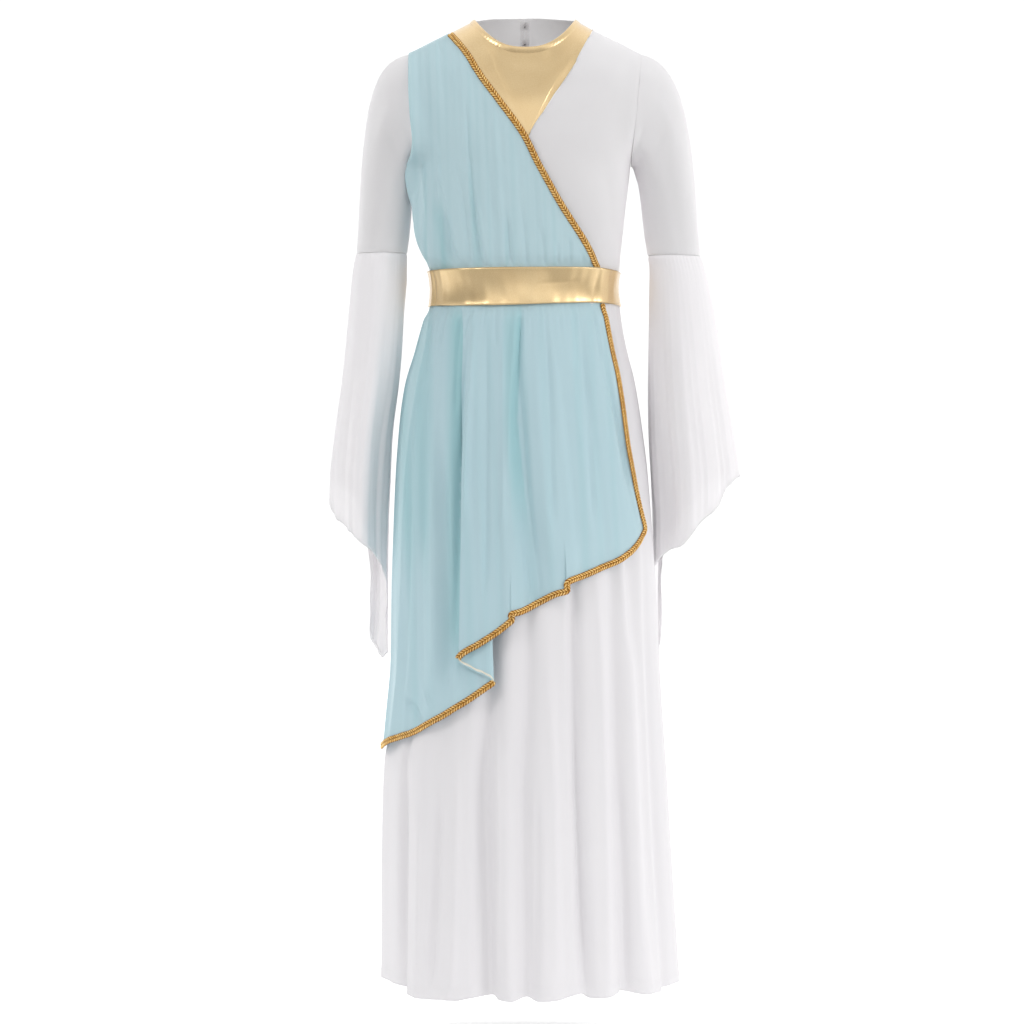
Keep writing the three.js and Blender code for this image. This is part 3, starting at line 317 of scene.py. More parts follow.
def bodice(side, x, z):
    x, z = np.broadcast_arrays(np.asarray(x, float), np.asarray(z, float))
    q = np.minimum(1, np.abs(x) / bodice_reach(z))
    across = (1 - q ** POWER) ** (1 / POWER)
    below = clip((shoulder(x) - z) / SHOULDER_ROUND, 0, 1)
    over = np.sqrt(1 - (1 - below) ** 2)
    deep = (bodice_front(z) if side < 0 else bodice_back(z)) * across * over
    near = np.exp(-((np.maximum(0, bodice_edge(z) - np.abs(x)) / 11) ** 2))
    full = (4.2 if side < 0 else 3.0) * near * smooth((z - UNDERARM) / 34) * smooth((shoulder(x) - z) / 30)
    return np.stack([x, side * (np.maximum(SEAM, deep) + full), z], -1)


def front_top(x):
    a = np.abs(x)
    cut = shoulder(NECK_CUT) + (NECK_FRONT - NECK_BIND - shoulder(NECK_CUT)) * (1 - np.minimum(1, a / NECK_CUT) ** NECK_POWER)
    return np.where(a >= NECK_CUT, shoulder(x), cut)


def back_top(x):
    a = np.abs(x)
    cut = shoulder(NECK_HALF) + (NECK_BACK - shoulder(NECK_HALF)) * (1 - np.minimum(1, a / NECK_HALF) ** 2)
    return np.where(a >= NECK_HALF, shoulder(x), cut)


def neck_edge(x):
    return shoulder(NECK_HALF) + (NECK_FRONT - shoulder(NECK_HALF)) * (1 - np.minimum(1, np.abs(x) / NECK_HALF) ** NECK_POWER)


def folds(t, angle, z, bottom):
    total = 0
    for w, h, wide, deep, start in zip(t["waist"], t["hem"], t["wide"], t["deep"], t["from"]):
        fall = clip((start - z) / (start - bottom), 0, 1)
        off = (((angle - (w + (h - w) * fall) + 540) % 360) - 180) / wide
        total = total + np.where(np.abs(off) < 1.6, deep * fall ** 0.8 * np.exp(-2.2 * off * off), 0)
    return total


def out_of_skirt(angle, z):
    s, c = np.sin(np.radians(angle)), np.cos(np.radians(angle))
    half, deep = skirt_half(z), np.where(c > 0, skirt_front(z), skirt_back(z))
    out = np.stack([s / half, -c / deep, np.zeros_like(s + half)], -1)
    return out / np.linalg.norm(out, axis=-1, keepdims=True)


def skirt(angle, z, off=0):
    angle, z = np.broadcast_arrays(np.asarray(angle, float), np.asarray(z, float))
    s, c = np.sin(np.radians(angle)), np.cos(np.radians(angle))
    deep = np.where(c > 0, skirt_front(z), skirt_back(z))
    base = np.stack([skirt_shift(z) + skirt_half(z) * s, -deep * c, z], -1)
    return base + out_of_skirt(angle, z) * (off + folds(SKIRT_FOLDS, angle, z, HEM))[..., None]


def creases(t, x, z):
    total = np.zeros(np.broadcast(x, z).shape)
    for x0, z0, x1, z1, wide, deep, bend, power in zip(*(t[k] for k in CREASE.split())):
        f = (z - z0) / (z1 - z0)
        fade = smooth(f / 0.35 + 0.15) * smooth((1.06 - f) / 0.2)
        fade = np.where((f < -0.06) | (f > 1.06), 0, fade)
        middle = x0 + (x1 - x0) * f + bend * np.sin(math.pi * clip(f, 0, 1))
        total = total + 1.7 * deep * fade * np.exp(-np.abs((x - middle) / wide) ** power)
    return total


def gathers(along, down, pitch, height, reach, seed):
    """Drawn-up cloth under a seam: sharp valleys between round ridges, which run out unevenly."""
    phase = math.pi * along / pitch + 0.9 * wander(along / pitch, seed)
    length = reach * (1 + 0.55 * wander(along / pitch * 0.7, seed + 1))
    length = np.maximum(length, reach * 0.25)
    fade = np.exp(-clip(down / length, 0, 9) ** 1.4) * smooth(down / 3 + 0.35)
    uneven = 0.65 + 0.35 * wander(along / pitch * 0.45, seed + 2)
    return height * uneven * fade * (np.abs(np.sin(phase)) - 0.62)


def normals(P, closed=False):
    """Unit normals of a grid: along its columns crossed with up its rows."""
    if closed:
        along = np.roll(P, -1, 1) - np.roll(P, 1, 1)
    else:
        along = np.gradient(P, axis=1)
    up = np.gradient(P, axis=0)
    n = np.cross(along, up)
    size = np.linalg.norm(n, axis=-1, keepdims=True)
    return n / np.maximum(size, 1e-9)


def spans(P, closed=False):
    """Distances of each point of a grid from its first column and from its first row."""
    across = np.linalg.norm(np.diff(P, axis=1), axis=-1)
    up = np.linalg.norm(np.diff(P, axis=0), axis=-1)
    u = np.concatenate([np.zeros((P.shape[0], 1)), np.cumsum(across, 1)], 1)
    v = np.concatenate([np.zeros((1, P.shape[1])), np.cumsum(up, 0)], 0)
    return u, v


def press(P, sides="lr", deep=0.8, wide=1.8, pucker=0.0, pitch=7.0, seed=3, closed=False):
    """Draws the cloth in along its seams: l and r are the first and last columns, b and t the rows."""
    n = normals(P, closed)
    u, v = spans(P, closed)
    gone = np.zeros(P.shape[:2])
    far = {"l": u, "r": u[:, -1:] - u, "b": v, "t": v[-1:] - v}
    run = {"l": v, "r": v, "b": u, "t": u}
    for k, s in enumerate(sides):
        d = far[s]
        gone -= deep * np.exp(-((d / wide) ** 2))
        if pucker:
            wave = np.sin(2 * math.pi * run[s] / pitch + 1.7 * wander(run[s] / 30, seed + k))
            gone += pucker * wave * np.exp(-d / 6.0) * (0.6 + 0.4 * wander(run[s] / 18, seed + 9 + k))
    return P + n * gone[..., None]


def settle(P, times=12):
    """Evens a grid up and down, so that no crease shows where two sections meet."""
    P = P.copy()
    for _ in range(times):
        P[1:-1] = (P[:-2] + 2 * P[1:-1] + P[2:]) / 4
    return P


def turned(P, sides="lr", deep=2.6):
    """Adds the seam allowance, turned in behind the cloth at the named edges."""
    n = normals(P)
    if "b" in sides:
        P = np.concatenate([P[:1] - n[:1] * deep, P[:1] - n[:1] * 0.7, P])
        n = np.concatenate([n[:1], n[:1], n])
    if "t" in sides:
        P = np.concatenate([P, P[-1:] - n[-1:] * 0.7, P[-1:] - n[-1:] * deep])
        n = np.concatenate([n, n[-1:], n[-1:]])
    if "l" in sides:
        P = np.concatenate([P[:, :1] - n[:, :1] * deep, P[:, :1] - n[:, :1] * 0.7, P], 1)
        n = np.concatenate([n[:, :1], n[:, :1], n], 1)
    if "r" in sides:
        P = np.concatenate([P, P[:, -1:] - n[:, -1:] * 0.7, P[:, -1:] - n[:, -1:] * deep], 1)
    return P


# ------------------------------------------------------------------ meshes
def make(name, points, faces, material, uv=None, shade=None, flat_shaded=False):
    """One mesh from arrays: points in millimetres, faces of four corners, uv for each corner in metres."""
    me = bpy.data.meshes.new(name)
    me.vertices.add(len(points))
    me.vertices.foreach_set("co", (np.asarray(points, float) / 1000).ravel())
    me.loops.add(faces.size)
    me.loops.foreach_set("vertex_index", faces.ravel().astype(np.int32))
    me.polygons.add(len(faces))
    me.polygons.foreach_set("loop_start", np.arange(0, faces.size, 4, dtype=np.int32))
    me.polygons.foreach_set("loop_total", np.full(len(faces), 4, dtype=np.int32))
    me.polygons.foreach_set("use_smooth", np.full(len(faces), not flat_shaded))
    me.update(calc_edges=True)
    if uv is not None:
        layer = me.uv_layers.new(name="cloth")
        layer.data.foreach_set("uv", uv.ravel())
    if shade is not None:
        layer = me.color_attributes.new(name="shade", type="FLOAT_COLOR", domain="POINT")
        colour = np.ones((len(points), 4))
        colour[:, :3] = np.asarray(shade)[:, None]
        layer.data.foreach_set("color", colour.ravel())
    me.validate()
    o = bpy.data.objects.new(name, me)
    bpy.context.scene.collection.objects.link(o)
    me.materials.append(material)
    return o


def cloth(name, P, material, closed=False, flip=False, thick=0.0, shade=None):
    """A piece of cloth on a grid. Its weave is laid out in metres along columns and rows."""
    rows, cols = P.shape[:2]
    ids = np.arange(rows * cols).reshape(rows, cols)
    last = cols if closed else cols - 1
    i = np.arange(last)
    k = (i + 1) % cols
    a, b, c, d = ids[:-1][:, i], ids[:-1][:, k], ids[1:][:, k], ids[1:][:, i]
    Q = np.concatenate([P, P[:, :1]], 1) if closed else P
    U = np.concatenate([[0], np.cumsum(np.linalg.norm(np.diff(Q, axis=1), axis=-1).mean(0))]) / 1000
    V = np.concatenate([[0], np.cumsum(np.linalg.norm(np.diff(P, axis=0), axis=-1).mean(1))]) / 1000
    j = np.arange(rows - 1)
    J, I = np.meshgrid(j, i, indexing="ij")
    faces = np.stack([a, b, c, d], -1).reshape(-1, 4)
    uv = np.stack(
        [np.stack([U[I], V[J]], -1), np.stack([U[I + 1], V[J]], -1),
         np.stack([U[I + 1], V[J + 1]], -1), np.stack([U[I], V[J + 1]], -1)], 2
    ).reshape(-1, 4, 2)
    if flip:
        faces, uv = faces[:, ::-1], uv[:, ::-1]
    o = make(name, P.reshape(-1, 3), faces, material, uv, None if shade is None else shade.ravel())
    if thick:
        me = o.data
        edge_of = np.empty(len(me.loops), np.int32)
        me.loops.foreach_get("edge_index", edge_of)
        border = np.bincount(edge_of, minlength=len(me.edges)) == 1
        me.attributes.new("sharp_edge", "BOOLEAN", "EDGE").data.foreach_set("value", border)
        m = o.modifiers.new("cloth", "SOLIDIFY")
        m.thickness, m.offset, m.use_even_offset = thick / 1000, -1, False
    return o


def tubes(centres, ups, radius, sides=6):
    """Rings round many short lines at once: centres and ups are (count, points, 3)."""
    tangent = np.gradient(centres, axis=1)
    tangent /= np.maximum(np.linalg.norm(tangent, axis=-1, keepdims=True), 1e-9)
    across = np.cross(tangent, ups)
    across /= np.maximum(np.linalg.norm(across, axis=-1, keepdims=True), 1e-9)
    up = np.cross(across, tangent)
    turn = np.arange(sides) / sides * 2 * math.pi
    ring = across[:, :, None] * np.cos(turn)[None, None, :, None] + up[:, :, None] * np.sin(turn)[None, None, :, None]
    pts = centres[:, :, None] + ring * radius[..., None, None]
    count, k = centres.shape[:2]
    ids = np.arange(count * k * sides).reshape(count, k, sides)
    nxt = np.roll(ids, -1, 2)
    wallf = np.stack([ids[:, :-1], nxt[:, :-1], nxt[:, 1:], ids[:, 1:]], -1).reshape(-1, 4)
    caps = []
    for e in (0, k - 1):
        r = ids[:, e]
        if sides == 4:
            caps.append(np.stack([r[:, 0], r[:, 1], r[:, 2], r[:, 3]], -1))
        else:
            caps.append(np.stack([r[:, 0], r[:, 1], r[:, 2], r[:, 3]], -1))
            caps.append(np.stack([r[:, 0], r[:, 3], r[:, 4], r[:, 5]], -1))
    return pts.reshape(-1, 3), np.concatenate([wallf] + caps)


def resample(points, ups, step):
    """The points and ups of a path at even steps along it."""
    d = np.concatenate([[0], np.cumsum(np.linalg.norm(np.diff(points, axis=0), axis=1))])
    n = max(2, int(round(d[-1] / step)))
    t = np.linspace(0, d[-1], n + 1)
    p = np.stack([np.interp(t, d, points[:, k]) for k in range(3)], -1)
    u = np.stack([np.interp(t, d, ups[:, k]) for k in range(3)], -1)
    u /= np.linalg.norm(u, axis=1, keepdims=True)
    return p, u, t


def stitches(name, path, ups, material, pitch=3.2, length=2.0, radius=0.22, rise=0.15):
    p, u, t = resample(path, ups, pitch / 8)
    starts = np.arange(2, len(p) - 8, 8)
    half = int(8 * length / pitch / 2)
    pick = np.stack([starts, starts + half, starts + 2 * half], 1)
    centres = p[pick] + u[pick] * (np.array([-0.1, rise, -0.1])[None, :, None])
    r = np.tile(np.array([0.7, 1, 0.7]) * radius, (len(starts), 1))
    pts, faces = tubes(centres, u[pick], r, 4)
    return make(name, pts, faces, material)


def braid(name, path, ups, material, width=6.9, step=0.9, seed=11):
    """Plaited gimp: slanting strands from the middle to both edges, domed, in groups of three with small loops
    at the edges, over a flat core."""
    rng = np.random.default_rng(seed)
    p, u, t = resample(path, ups, step)
    tangent = np.gradient(p, axis=0)
    tangent /= np.linalg.norm(tangent, axis=1, keepdims=True)
    across = np.cross(u, tangent)
    across /= np.linalg.norm(across, axis=1, keepdims=True)
    allp, allf, shade = [], [], []
    base = 0
    count = len(p)
    f = np.linspace(0, 1, 5)
    for side in (-1, 1):
        group = (np.arange(count) // 2) % 2
        third = np.arange(count) % 2
        reach = width / 2 + 0.28 * (third == 1) + 0.22 * group + rng.uniform(-0.14, 0.14, count)
        a = side * (0.25 + (reach[:, None] - 0.25) * f[None])
        slant = (-1.8 + 3.7 * f ** 0.9)[None] * step + 0.0 * a + (0.25 if side > 0 else 0) * step
        h = 0.25 + 0.85 * np.sin(math.pi * (0.12 + 0.84 * f))[None] + 0.12 * (third[:, None] == 1)
        h = h * (1 - 0.75 * f[None] ** 6) + 0.30 * (1 - group[:, None])
        # positions along the path are read from its own points, so that the strands follow its bends
        where = clip(np.arange(count)[:, None] + slant / step, 0, count - 1.001)
        lo = where.astype(int)
        w = (where - lo)[..., None]
        pick = lambda arr: arr[lo] * (1 - w) + arr[np.minimum(lo + 1, count - 1)] * w
        centres = pick(p) + pick(across) * a[..., None] + pick(u) * h[..., None]
        radius = 0.46 * (0.85 + 0.25 * np.sin(math.pi * f))[None] * np.ones((count, 1))
        pts, faces = tubes(centres, pick(u), radius)
        allp.append(pts)
        allf.append(faces + base)
        base += len(pts)
        # painted shade and highlight: each strand is lighter along its crown and darker at both ends, where it dips
        # into the hollows, and the lower strand of each pair a little darker; the two tones of the pairs are the yarn's
        # own
        tone = 0.75 - 0.62 * group + rng.uniform(-0.2, 0.2, count) - 0.08 * (third == 0)
        along = 0.75 + 0.5 * np.sin(math.pi * f)
        shade.append(np.repeat((tone[:, None] * along[None]).reshape(-1), 6))
    # the flat core
    cols = np.linspace(-1, 1, 5)
    core = p[:, None] + across[:, None] * (cols * width * 0.44)[None, :, None] + u[:, None] * (0.25 - 0.2 * np.abs(cols))[None, :, None]
    ids = np.arange(count * 5).reshape(count, 5) + base
    faces = np.stack([ids[:-1, :-1], ids[:-1, 1:], ids[1:, 1:], ids[1:, :-1]], -1).reshape(-1, 4)
    allp.append(core.reshape(-1, 3))
    allf.append(faces)
    shade.append(np.full(count * 5, 0.1))
    return make(name, np.concatenate(allp), np.concatenate(allf), material, shade=np.concatenate(shade))


# ------------------------------------------------------------------ materials
class Nodes:
    """A material with one Principled shader, and short ways to add nodes to it."""

    def __init__(self, name, colour, rough, metallic=0.0, alpha=1.0, sheen=0.0, specular=0.3):
        self.m = bpy.data.materials.new(name)
        self.m.use_nodes = True
        self.t = self.m.node_tree
        self.p = self.t.nodes["Principled BSDF"]
        self.set("Base Color", (*colour, 1))
        self.set("Roughness", rough)
        self.set("Metallic", metallic)
        self.set("Alpha", alpha)
        self.set("Specular IOR Level", specular)
        self.set("Sheen Weight", sheen)
        self.set("Sheen Roughness", 0.5)
        self.m.diffuse_color = (*colour, 1)

    def set(self, key, value):
        self.p.inputs[key].default_value = value

    def add(self, kind, **values):
        n = self.t.nodes.new(kind)
        for k, v in values.items():
            setattr(n, k, v)
        return n

    def link(self, a, b):
        self.t.links.new(a, b)

    def math(self, op, a, b=None):
        n = self.add("ShaderNodeMath", operation=op)
        for s, v in zip(n.inputs, (a, b)):
            if v is None:
                continue
            if hasattr(v, "links"):
                self.link(v, s)
            else:
                s.default_value = v
        return n.outputs[0]

    def noise(self, vector, scale, detail=2.0, rough=0.5):
        n = self.add("ShaderNodeTexNoise")
        self.link(vector, n.inputs["Vector"])
        n.inputs["Scale"].default_value = scale
        n.inputs["Detail"].default_value = detail
        n.inputs["Roughness"].default_value = rough
        return n.outputs["Fac"]

    def stretched(self, vector, x, y, z=1.0):
        n = self.add("ShaderNodeMapping")
        self.link(vector, n.inputs["Vector"])
        n.inputs["Scale"].default_value = (x, y, z)
        return n.outputs[0]

    def mix_colour(self, fac, a, b):
        n = self.add("ShaderNodeMix", data_type="RGBA")
        self.link(fac, n.inputs[0])
        n.inputs[6].default_value = (*a, 1)
        n.inputs[7].default_value = (*b, 1)
        self.link(n.outputs[2], self.p.inputs["Base Color"])
        return n

    def bump(self, height, distance, strength=1.0):
        n = self.add("ShaderNodeBump")
        n.inputs["Distance"].default_value = distance / 1000
        n.inputs["Strength"].default_value = strength
        self.link(height, n.inputs["Height"])
        self.link(n.outputs[0], self.p.inputs["Normal"])


def woven(name, colour, other, rough, pitch, deep, kind="plain", alpha=1.0, sheen=0.0, crinkle=0.0, doubled_and_shaded=None):
    """Cloth with its yarns at their true pitch in millimetres, a little uneven in colour."""
    n = Nodes(name, colour, rough, alpha=alpha, sheen=sheen, specular=0.2)
    uv = n.add("ShaderNodeTexCoord").outputs["UV"]
    parts = n.add("ShaderNodeSeparateXYZ")
    n.link(uv, parts.inputs[0])
    per = 2000 * math.pi / pitch
    u = n.math("SINE", n.math("MULTIPLY", parts.outputs[0], per))
    v = n.math("SINE", n.math("MULTIPLY", parts.outputs[1], per * (0.5 if kind == "knit" else 1.0)))
    if kind == "knit":  # wales stand up in columns, with the loops along them
        yarn = n.math("ADD", n.math("ABSOLUTE", u), n.math("MULTIPLY", n.math("MULTIPLY", u, v), 0.35))
    else:
        yarn = n.math("MULTIPLY", u, v)
    height = n.math("MULTIPLY", yarn, 0.5)
    if crinkle:
        soft = n.noise(n.stretched(uv, 260, 55), 1.0, 3.0, 0.6)
        height = n.math("ADD", height, n.math("MULTIPLY", soft, crinkle))
    n.bump(height, deep, 0.6)
    mottle = n.noise(n.stretched(uv, 34, 14), 1.0, 3.0)
    slub = n.noise(n.stretched(uv, 700, 40), 1.0, 1.0)
    both = n.math("ADD", n.math("MULTIPLY", mottle, 0.7), n.math("MULTIPLY", slub, 0.3))
    first = n.mix_colour(both, colour, other)
    if doubled_and_shaded:  # where the sheer cloth lies over more of itself, and painted shade in the troughs beside its folds, it turns a deeper, darker teal
        layers_and_shade = n.add("ShaderNodeVertexColor", layer_name="shade")
        tone = n.math("MULTIPLY", layers_and_shade.outputs["Color"], 1.0)
        second = n.mix_colour(tone, colour, doubled_and_shaded)
        n.link(first.outputs[2], second.inputs[6])
    return n.m


def foil():
    """Foil printed on stretch jersey: metallic, finely crackled, a little duller in patches."""
    n = Nodes("gold_foil", (0.84, 0.60, 0.31), 0.34, metallic=0.88, specular=0.5)
    uv = n.add("ShaderNodeTexCoord").outputs["UV"]
    parts = n.add("ShaderNodeSeparateXYZ")
    n.link(uv, parts.inputs[0])
    wale = n.math("ABSOLUTE", n.math("SINE", n.math("MULTIPLY", parts.outputs[0], 2000 * math.pi / 1.1)))
    grain = n.noise(n.stretched(uv, 900, 900), 1.0, 3.0, 0.7)
    cells = n.add("ShaderNodeTexVoronoi", feature="DISTANCE_TO_EDGE")
    n.link(n.stretched(uv, 620, 420), cells.inputs["Vector"])
    cells.inputs["Scale"].default_value = 1.0
    crack = n.math("MINIMUM", n.math("MULTIPLY", cells.outputs["Distance"], 6), 1.0)
    height = n.math("ADD", n.math("ADD", n.math("MULTIPLY", wale, 0.25), n.math("MULTIPLY", grain, 0.5)), n.math("MULTIPLY", crack, 0.35))
    n.bump(height, 0.12, 0.45)
    patch = n.noise(n.stretched(uv, 26, 26), 1.0, 4.0)
    both = n.math("ADD", n.math("MULTIPLY", patch, 0.75), n.math("MULTIPLY", crack, 0.25))
    n.mix_colour(both, (0.76, 0.53, 0.255), (0.92, 0.71, 0.40))
    for key, value in (("Coat Weight", 0.7), ("Coat Roughness", 0.22), ("Coat IOR", 1.6)):
        n.set(key, value)
    n.link(n.math("ADD", n.math("MULTIPLY", patch, 0.12), 0.26), n.p.inputs["Roughness"])
    return n.m


def gimp():
    """Plaited metallic yarn in dark amber and bright gold, with painted shade making it darker where the strands dip
    into the hollows.
    """
    n = Nodes("gold_braid", (0.62, 0.34, 0.06), 0.42, metallic=0.55, specular=0.5)
    tone = n.add("ShaderNodeVertexColor", layer_name="shade")
    place = n.add("ShaderNodeTexCoord").outputs["Object"]
    fine = n.noise(place, 2400, 2.0)
    fac = n.math("ADD", tone.outputs["Color"], n.math("MULTIPLY", n.math("SUBTRACT", fine, 0.5), 0.35))
    ramp = n.add("ShaderNodeValToRGB")
    n.link(fac, ramp.inputs[0])
    e = ramp.color_ramp.elements
    e[0].position, e[0].color = 0.0, (0.30, 0.105, 0.012, 1)
    e[1].position, e[1].color = 1.0, (1.0, 0.74, 0.30, 1)
    m = ramp.color_ramp.elements.new(0.45)
    m.color = (0.62, 0.29, 0.035, 1)
    n.link(ramp.outputs[0], n.p.inputs["Base Color"])
    n.bump(n.noise(place, 3800, 1.0), 0.10, 0.5)
    return n.m


WHITE, COOL = (0.935, 0.91, 0.93), (0.905, 0.88, 0.905)
jersey = woven("white_jersey", WHITE, COOL, 0.82, 0.9, 0.16, "knit", sheen=0.12)
for key, value in (("Subsurface Weight", 0.7), ("Subsurface Scale", 0.004)):
    jersey.node_tree.nodes["Principled BSDF"].inputs[key].default_value = value
jersey.node_tree.nodes["Principled BSDF"].inputs["Subsurface Radius"].default_value = (1.0, 1.0, 1.0)
placket_cloth = woven("placket_jersey", (0.92, 0.90, 0.92), (0.89, 0.87, 0.89), 0.85, 0.9, 0.12, "knit", alpha=0.14)
skirting = woven("white_skirt", (0.80, 0.785, 0.80), (0.77, 0.755, 0.775), 0.85, 0.8, 0.12, sheen=0.10)
chiffon = woven("white_chiffon", (0.92, 0.90, 0.915), (0.89, 0.87, 0.89), 0.85, 0.7, 0.10, alpha=0.93, sheen=0.08, crinkle=0.4)
aqua = woven("aqua_chiffon", (0.565, 0.75, 0.80), (0.52, 0.72, 0.775), 0.80, 0.7, 0.10, alpha=0.82, sheen=0.10, crinkle=0.9, doubled_and_shaded=(0.40, 0.645, 0.69))
aqua_skirt = woven("aqua_chiffon_gathered", (0.515, 0.69, 0.745), (0.48, 0.665, 0.725), 0.80, 0.7, 0.10, alpha=0.92, sheen=0.10, crinkle=0.9, doubled_and_shaded=(0.37, 0.62, 0.66))
for key, value in (("Subsurface Weight", 0.4), ("Subsurface Scale", 0.004)):
    chiffon.node_tree.nodes["Principled BSDF"].inputs[key].default_value = value
chiffon.node_tree.nodes["Principled BSDF"].inputs["Subsurface Radius"].default_value = (1.0, 1.0, 1.0)
gold = foil()
gimp_mat = gimp()
pale_edge = Nodes("pale_hem_edge", (0.78, 0.76, 0.66), 0.7).m
thread = Nodes("white_thread", (0.78, 0.77, 0.78), 0.6).m
dark_thread = Nodes("closure_thread", (0.16, 0.16, 0.17), 0.6).m


def plastic():
    n = Nodes("button", (0.84, 0.83, 0.81), 0.22, specular=0.5)
    place = n.add("ShaderNodeTexCoord").outputs["Object"]
    n.mix_colour(n.noise(place, 240, 2.0), (0.86, 0.85, 0.83), (0.80, 0.79, 0.77))
    n.set("Coat Weight", 0.3)
    return n.m


button_mat = plastic()

made = []


def keep(o, node=None):
    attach(o, "root")
    if node:
        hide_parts(node)
    made.append(o)
    return o


# ------------------------------------------------------------------ bodice
BODICE_BOTTOM = -301.5


def panel(side, left, right, top, xt, rows, power=1.25, bottom=BODICE_BOTTOM):
    """Rows from the waist up to the top edge, between a left and a right edge given by height."""
    zt = top(xt)

    def turn(z, edge):
        return np.arcsin(clip(edge(z) / bodice_reach(z), -1, 1))

    a0, b0 = turn(zt, left), turn(zt, right)
    s = clip((np.arcsin(clip(xt / bodice_reach(zt), -1, 1)) - a0) / (b0 - a0), 0, 1)
    v = np.linspace(0, 1, rows)[:, None]
    z = zt[None] + (bottom - zt[None]) * (1 - v) ** power
    a, b = turn(z, left), turn(z, right)
    x = bodice_reach(z) * np.sin(a + (b - a) * s[None])
    return bodice(side, x, np.minimum(z, shoulder(x)))


def spread(a, b, count, power=1.0):
    t = np.linspace(-1, 1, count)
    t = np.sign(t) * (1 - (1 - np.abs(t)) ** power)
    return a + (b - a) * (t + 1) / 2


def side_line(sign):
    return lambda z: sign * bodice_edge(z)


# the white front on the wearer's left, from the gold yoke and the crossing braid to the side
def right_of_yoke(z):
    return np.where(z > -150, yoke_edge(z) + 0.15, np.maximum(cross_edge(z), 0.15))


P = panel(-1, right_of_yoke, side_line(1), shoulder, spread(80.5, SHOULDER_TIP, 90), 150)
u, v = spans(P)
x, z = P[..., 0], P[..., 2]
soft = (
    -0.5 * np.exp(-(((x - 112) / 14) ** 2 + ((z + 150) / 26) ** 2))
    - 0.8 * np.exp(-(((x - 104 + 0.16 * (z + 230)) / 7) ** 2)) * smooth((z + 290) / 40) * smooth((-150 - z) / 40)
    + 0.35 * field(x / 60, z / 90, 21)
)
P = P + normals(P) * soft[..., None]
P = turned(press(settle(P), "t", 0.22, 1.0, 0.08, 8.0, 5), "l", 1.4)
front_left_side = keep(cloth("front_bodice_left", P, jersey, thick=0.8), "front_bodice")

# the white front under the overlay
P = panel(-1, side_line(-1), lambda z: np.where(z > -150, cross_edge(z) - 0.15, cross_edge(z) - 0.15), shoulder, spread(-SHOULDER_TIP, -91.5, 50), 90)
P = press(P, "lt", 0.4, 1.3)
front_right_side = keep(cloth("front_bodice_right", P, jersey, thick=0.8), "front_bodice")

# the gold yoke
xt = spread(-91, 83.2, 110)
P = panel(-1, lambda z: cross_edge(z), lambda z: np.maximum(yoke_edge(z) + 1.8, cross_edge(z) + 0.02), lambda x: np.minimum(front_top(x) + 1.6 * smooth((56 - np.abs(x)) / 10), shoulder(x)), xt, 95, 1.0, bottom=-151)
x, z = P[..., 0], P[..., 2]
wrinkle = (
    -0.10 * np.exp(-(((x - 34) / 2.0) ** 2)) * smooth((z + 72) / 18)
    - 0.13 * np.exp(-(((x - 41 + 0.1 * (z + 50)) / 2.0) ** 2)) * smooth((z + 74) / 18)
    - 0.16 * np.exp(-(((x - 48) / 1.6) ** 2)) * smooth((z + 62) / 18)
    - 0.14 * np.exp(-(((x + 30) / 2.0) ** 2)) * smooth((z + 70) / 20)
    + 0.16 * field(x / 60, z / 80, 33)
    - 2.2 * smooth((x + 32) / 18) * smooth((38 - x) / 22) * np.exp(-((np.maximum(0, -(z + 46)) / 26) ** 2))
)
P = P + normals(P) * wrinkle[..., None]
u, v = spans(P)
P = P - normals(P) * (1.0 * (1 - smooth((u[:, -1:] - u - 0.9) / 10.0)))[..., None]
yoke = keep(cloth("gold_yoke_cloth", P, gold, thick=0.8), "gold_yoke")

# the binding folded over the neckline
turn = np.radians(np.linspace(-90, 90, 300))
rows = 22
grid = []
for k in range(rows):
    a = k / (rows - 1) * 2.0  # 0 to 1 up the front of the fold, 1 to 2 down behind it
    f = min(a, 1.0)
    inner, outer = np.sin(turn) * NECK_HALF, np.sin(turn) * (NECK_CUT + 0.2)
    zi, zo = neck_edge(inner), front_top(np.sin(turn) * NECK_CUT) - 0.5
    back = max(0.0, a - 1.0)
    g = f - 0.75 * back
    xx, zz = outer + (inner - outer) * g, zo + (zi - zo) * g
    p = bodice(-1, xx, np.minimum(zz, shoulder(xx)))
    p[:, 2] = zz
    grid.append((p, f, back))
P = np.stack([g[0] for g in grid])
n = normals(np.stack([bodice(-1, P[k, :, 0], np.minimum(P[k, :, 2], shoulder(P[k, :, 0]))) for k in range(0, 11)]))
n = np.concatenate([n, np.repeat(n[-1:], rows - 11, 0)])
bulge = np.array([-0.25 + 1.75 * math.sin(math.pi * min(1, g[1] * 0.62)) ** 0.8 if g[2] == 0 else 0 for g in grid])
lift = np.where(np.array([g[2] for g in grid]) > 0, 1.35 - 2.7 * smooth(np.array([g[2] for g in grid]) * 3.0), bulge)
s_along = spans(P)[0]
pucker = 0.13 * np.sin(2 * math.pi * s_along / 5.2 + wander(s_along / 14, 4)) * (1 - np.array([g[1] for g in grid]))[:, None]
dip = 2.2 * smooth((P[..., 0] + 32) / 18) * smooth((38 - P[..., 0]) / 22) * (1 - np.array([g[1] for g in grid]))[:, None]
P = P + n * (lift[:, None] + pucker - dip)[..., None]
binding = keep(cloth("neck_binding_tape", P, gold, flip=False), "neck_binding")
edge = bodice(-1, np.sin(turn) * (NECK_CUT + 1.3), np.minimum(front_top(np.sin(turn) * NECK_CUT) - 1.7, shoulder(np.sin(turn) * (NECK_CUT + 1.3))))

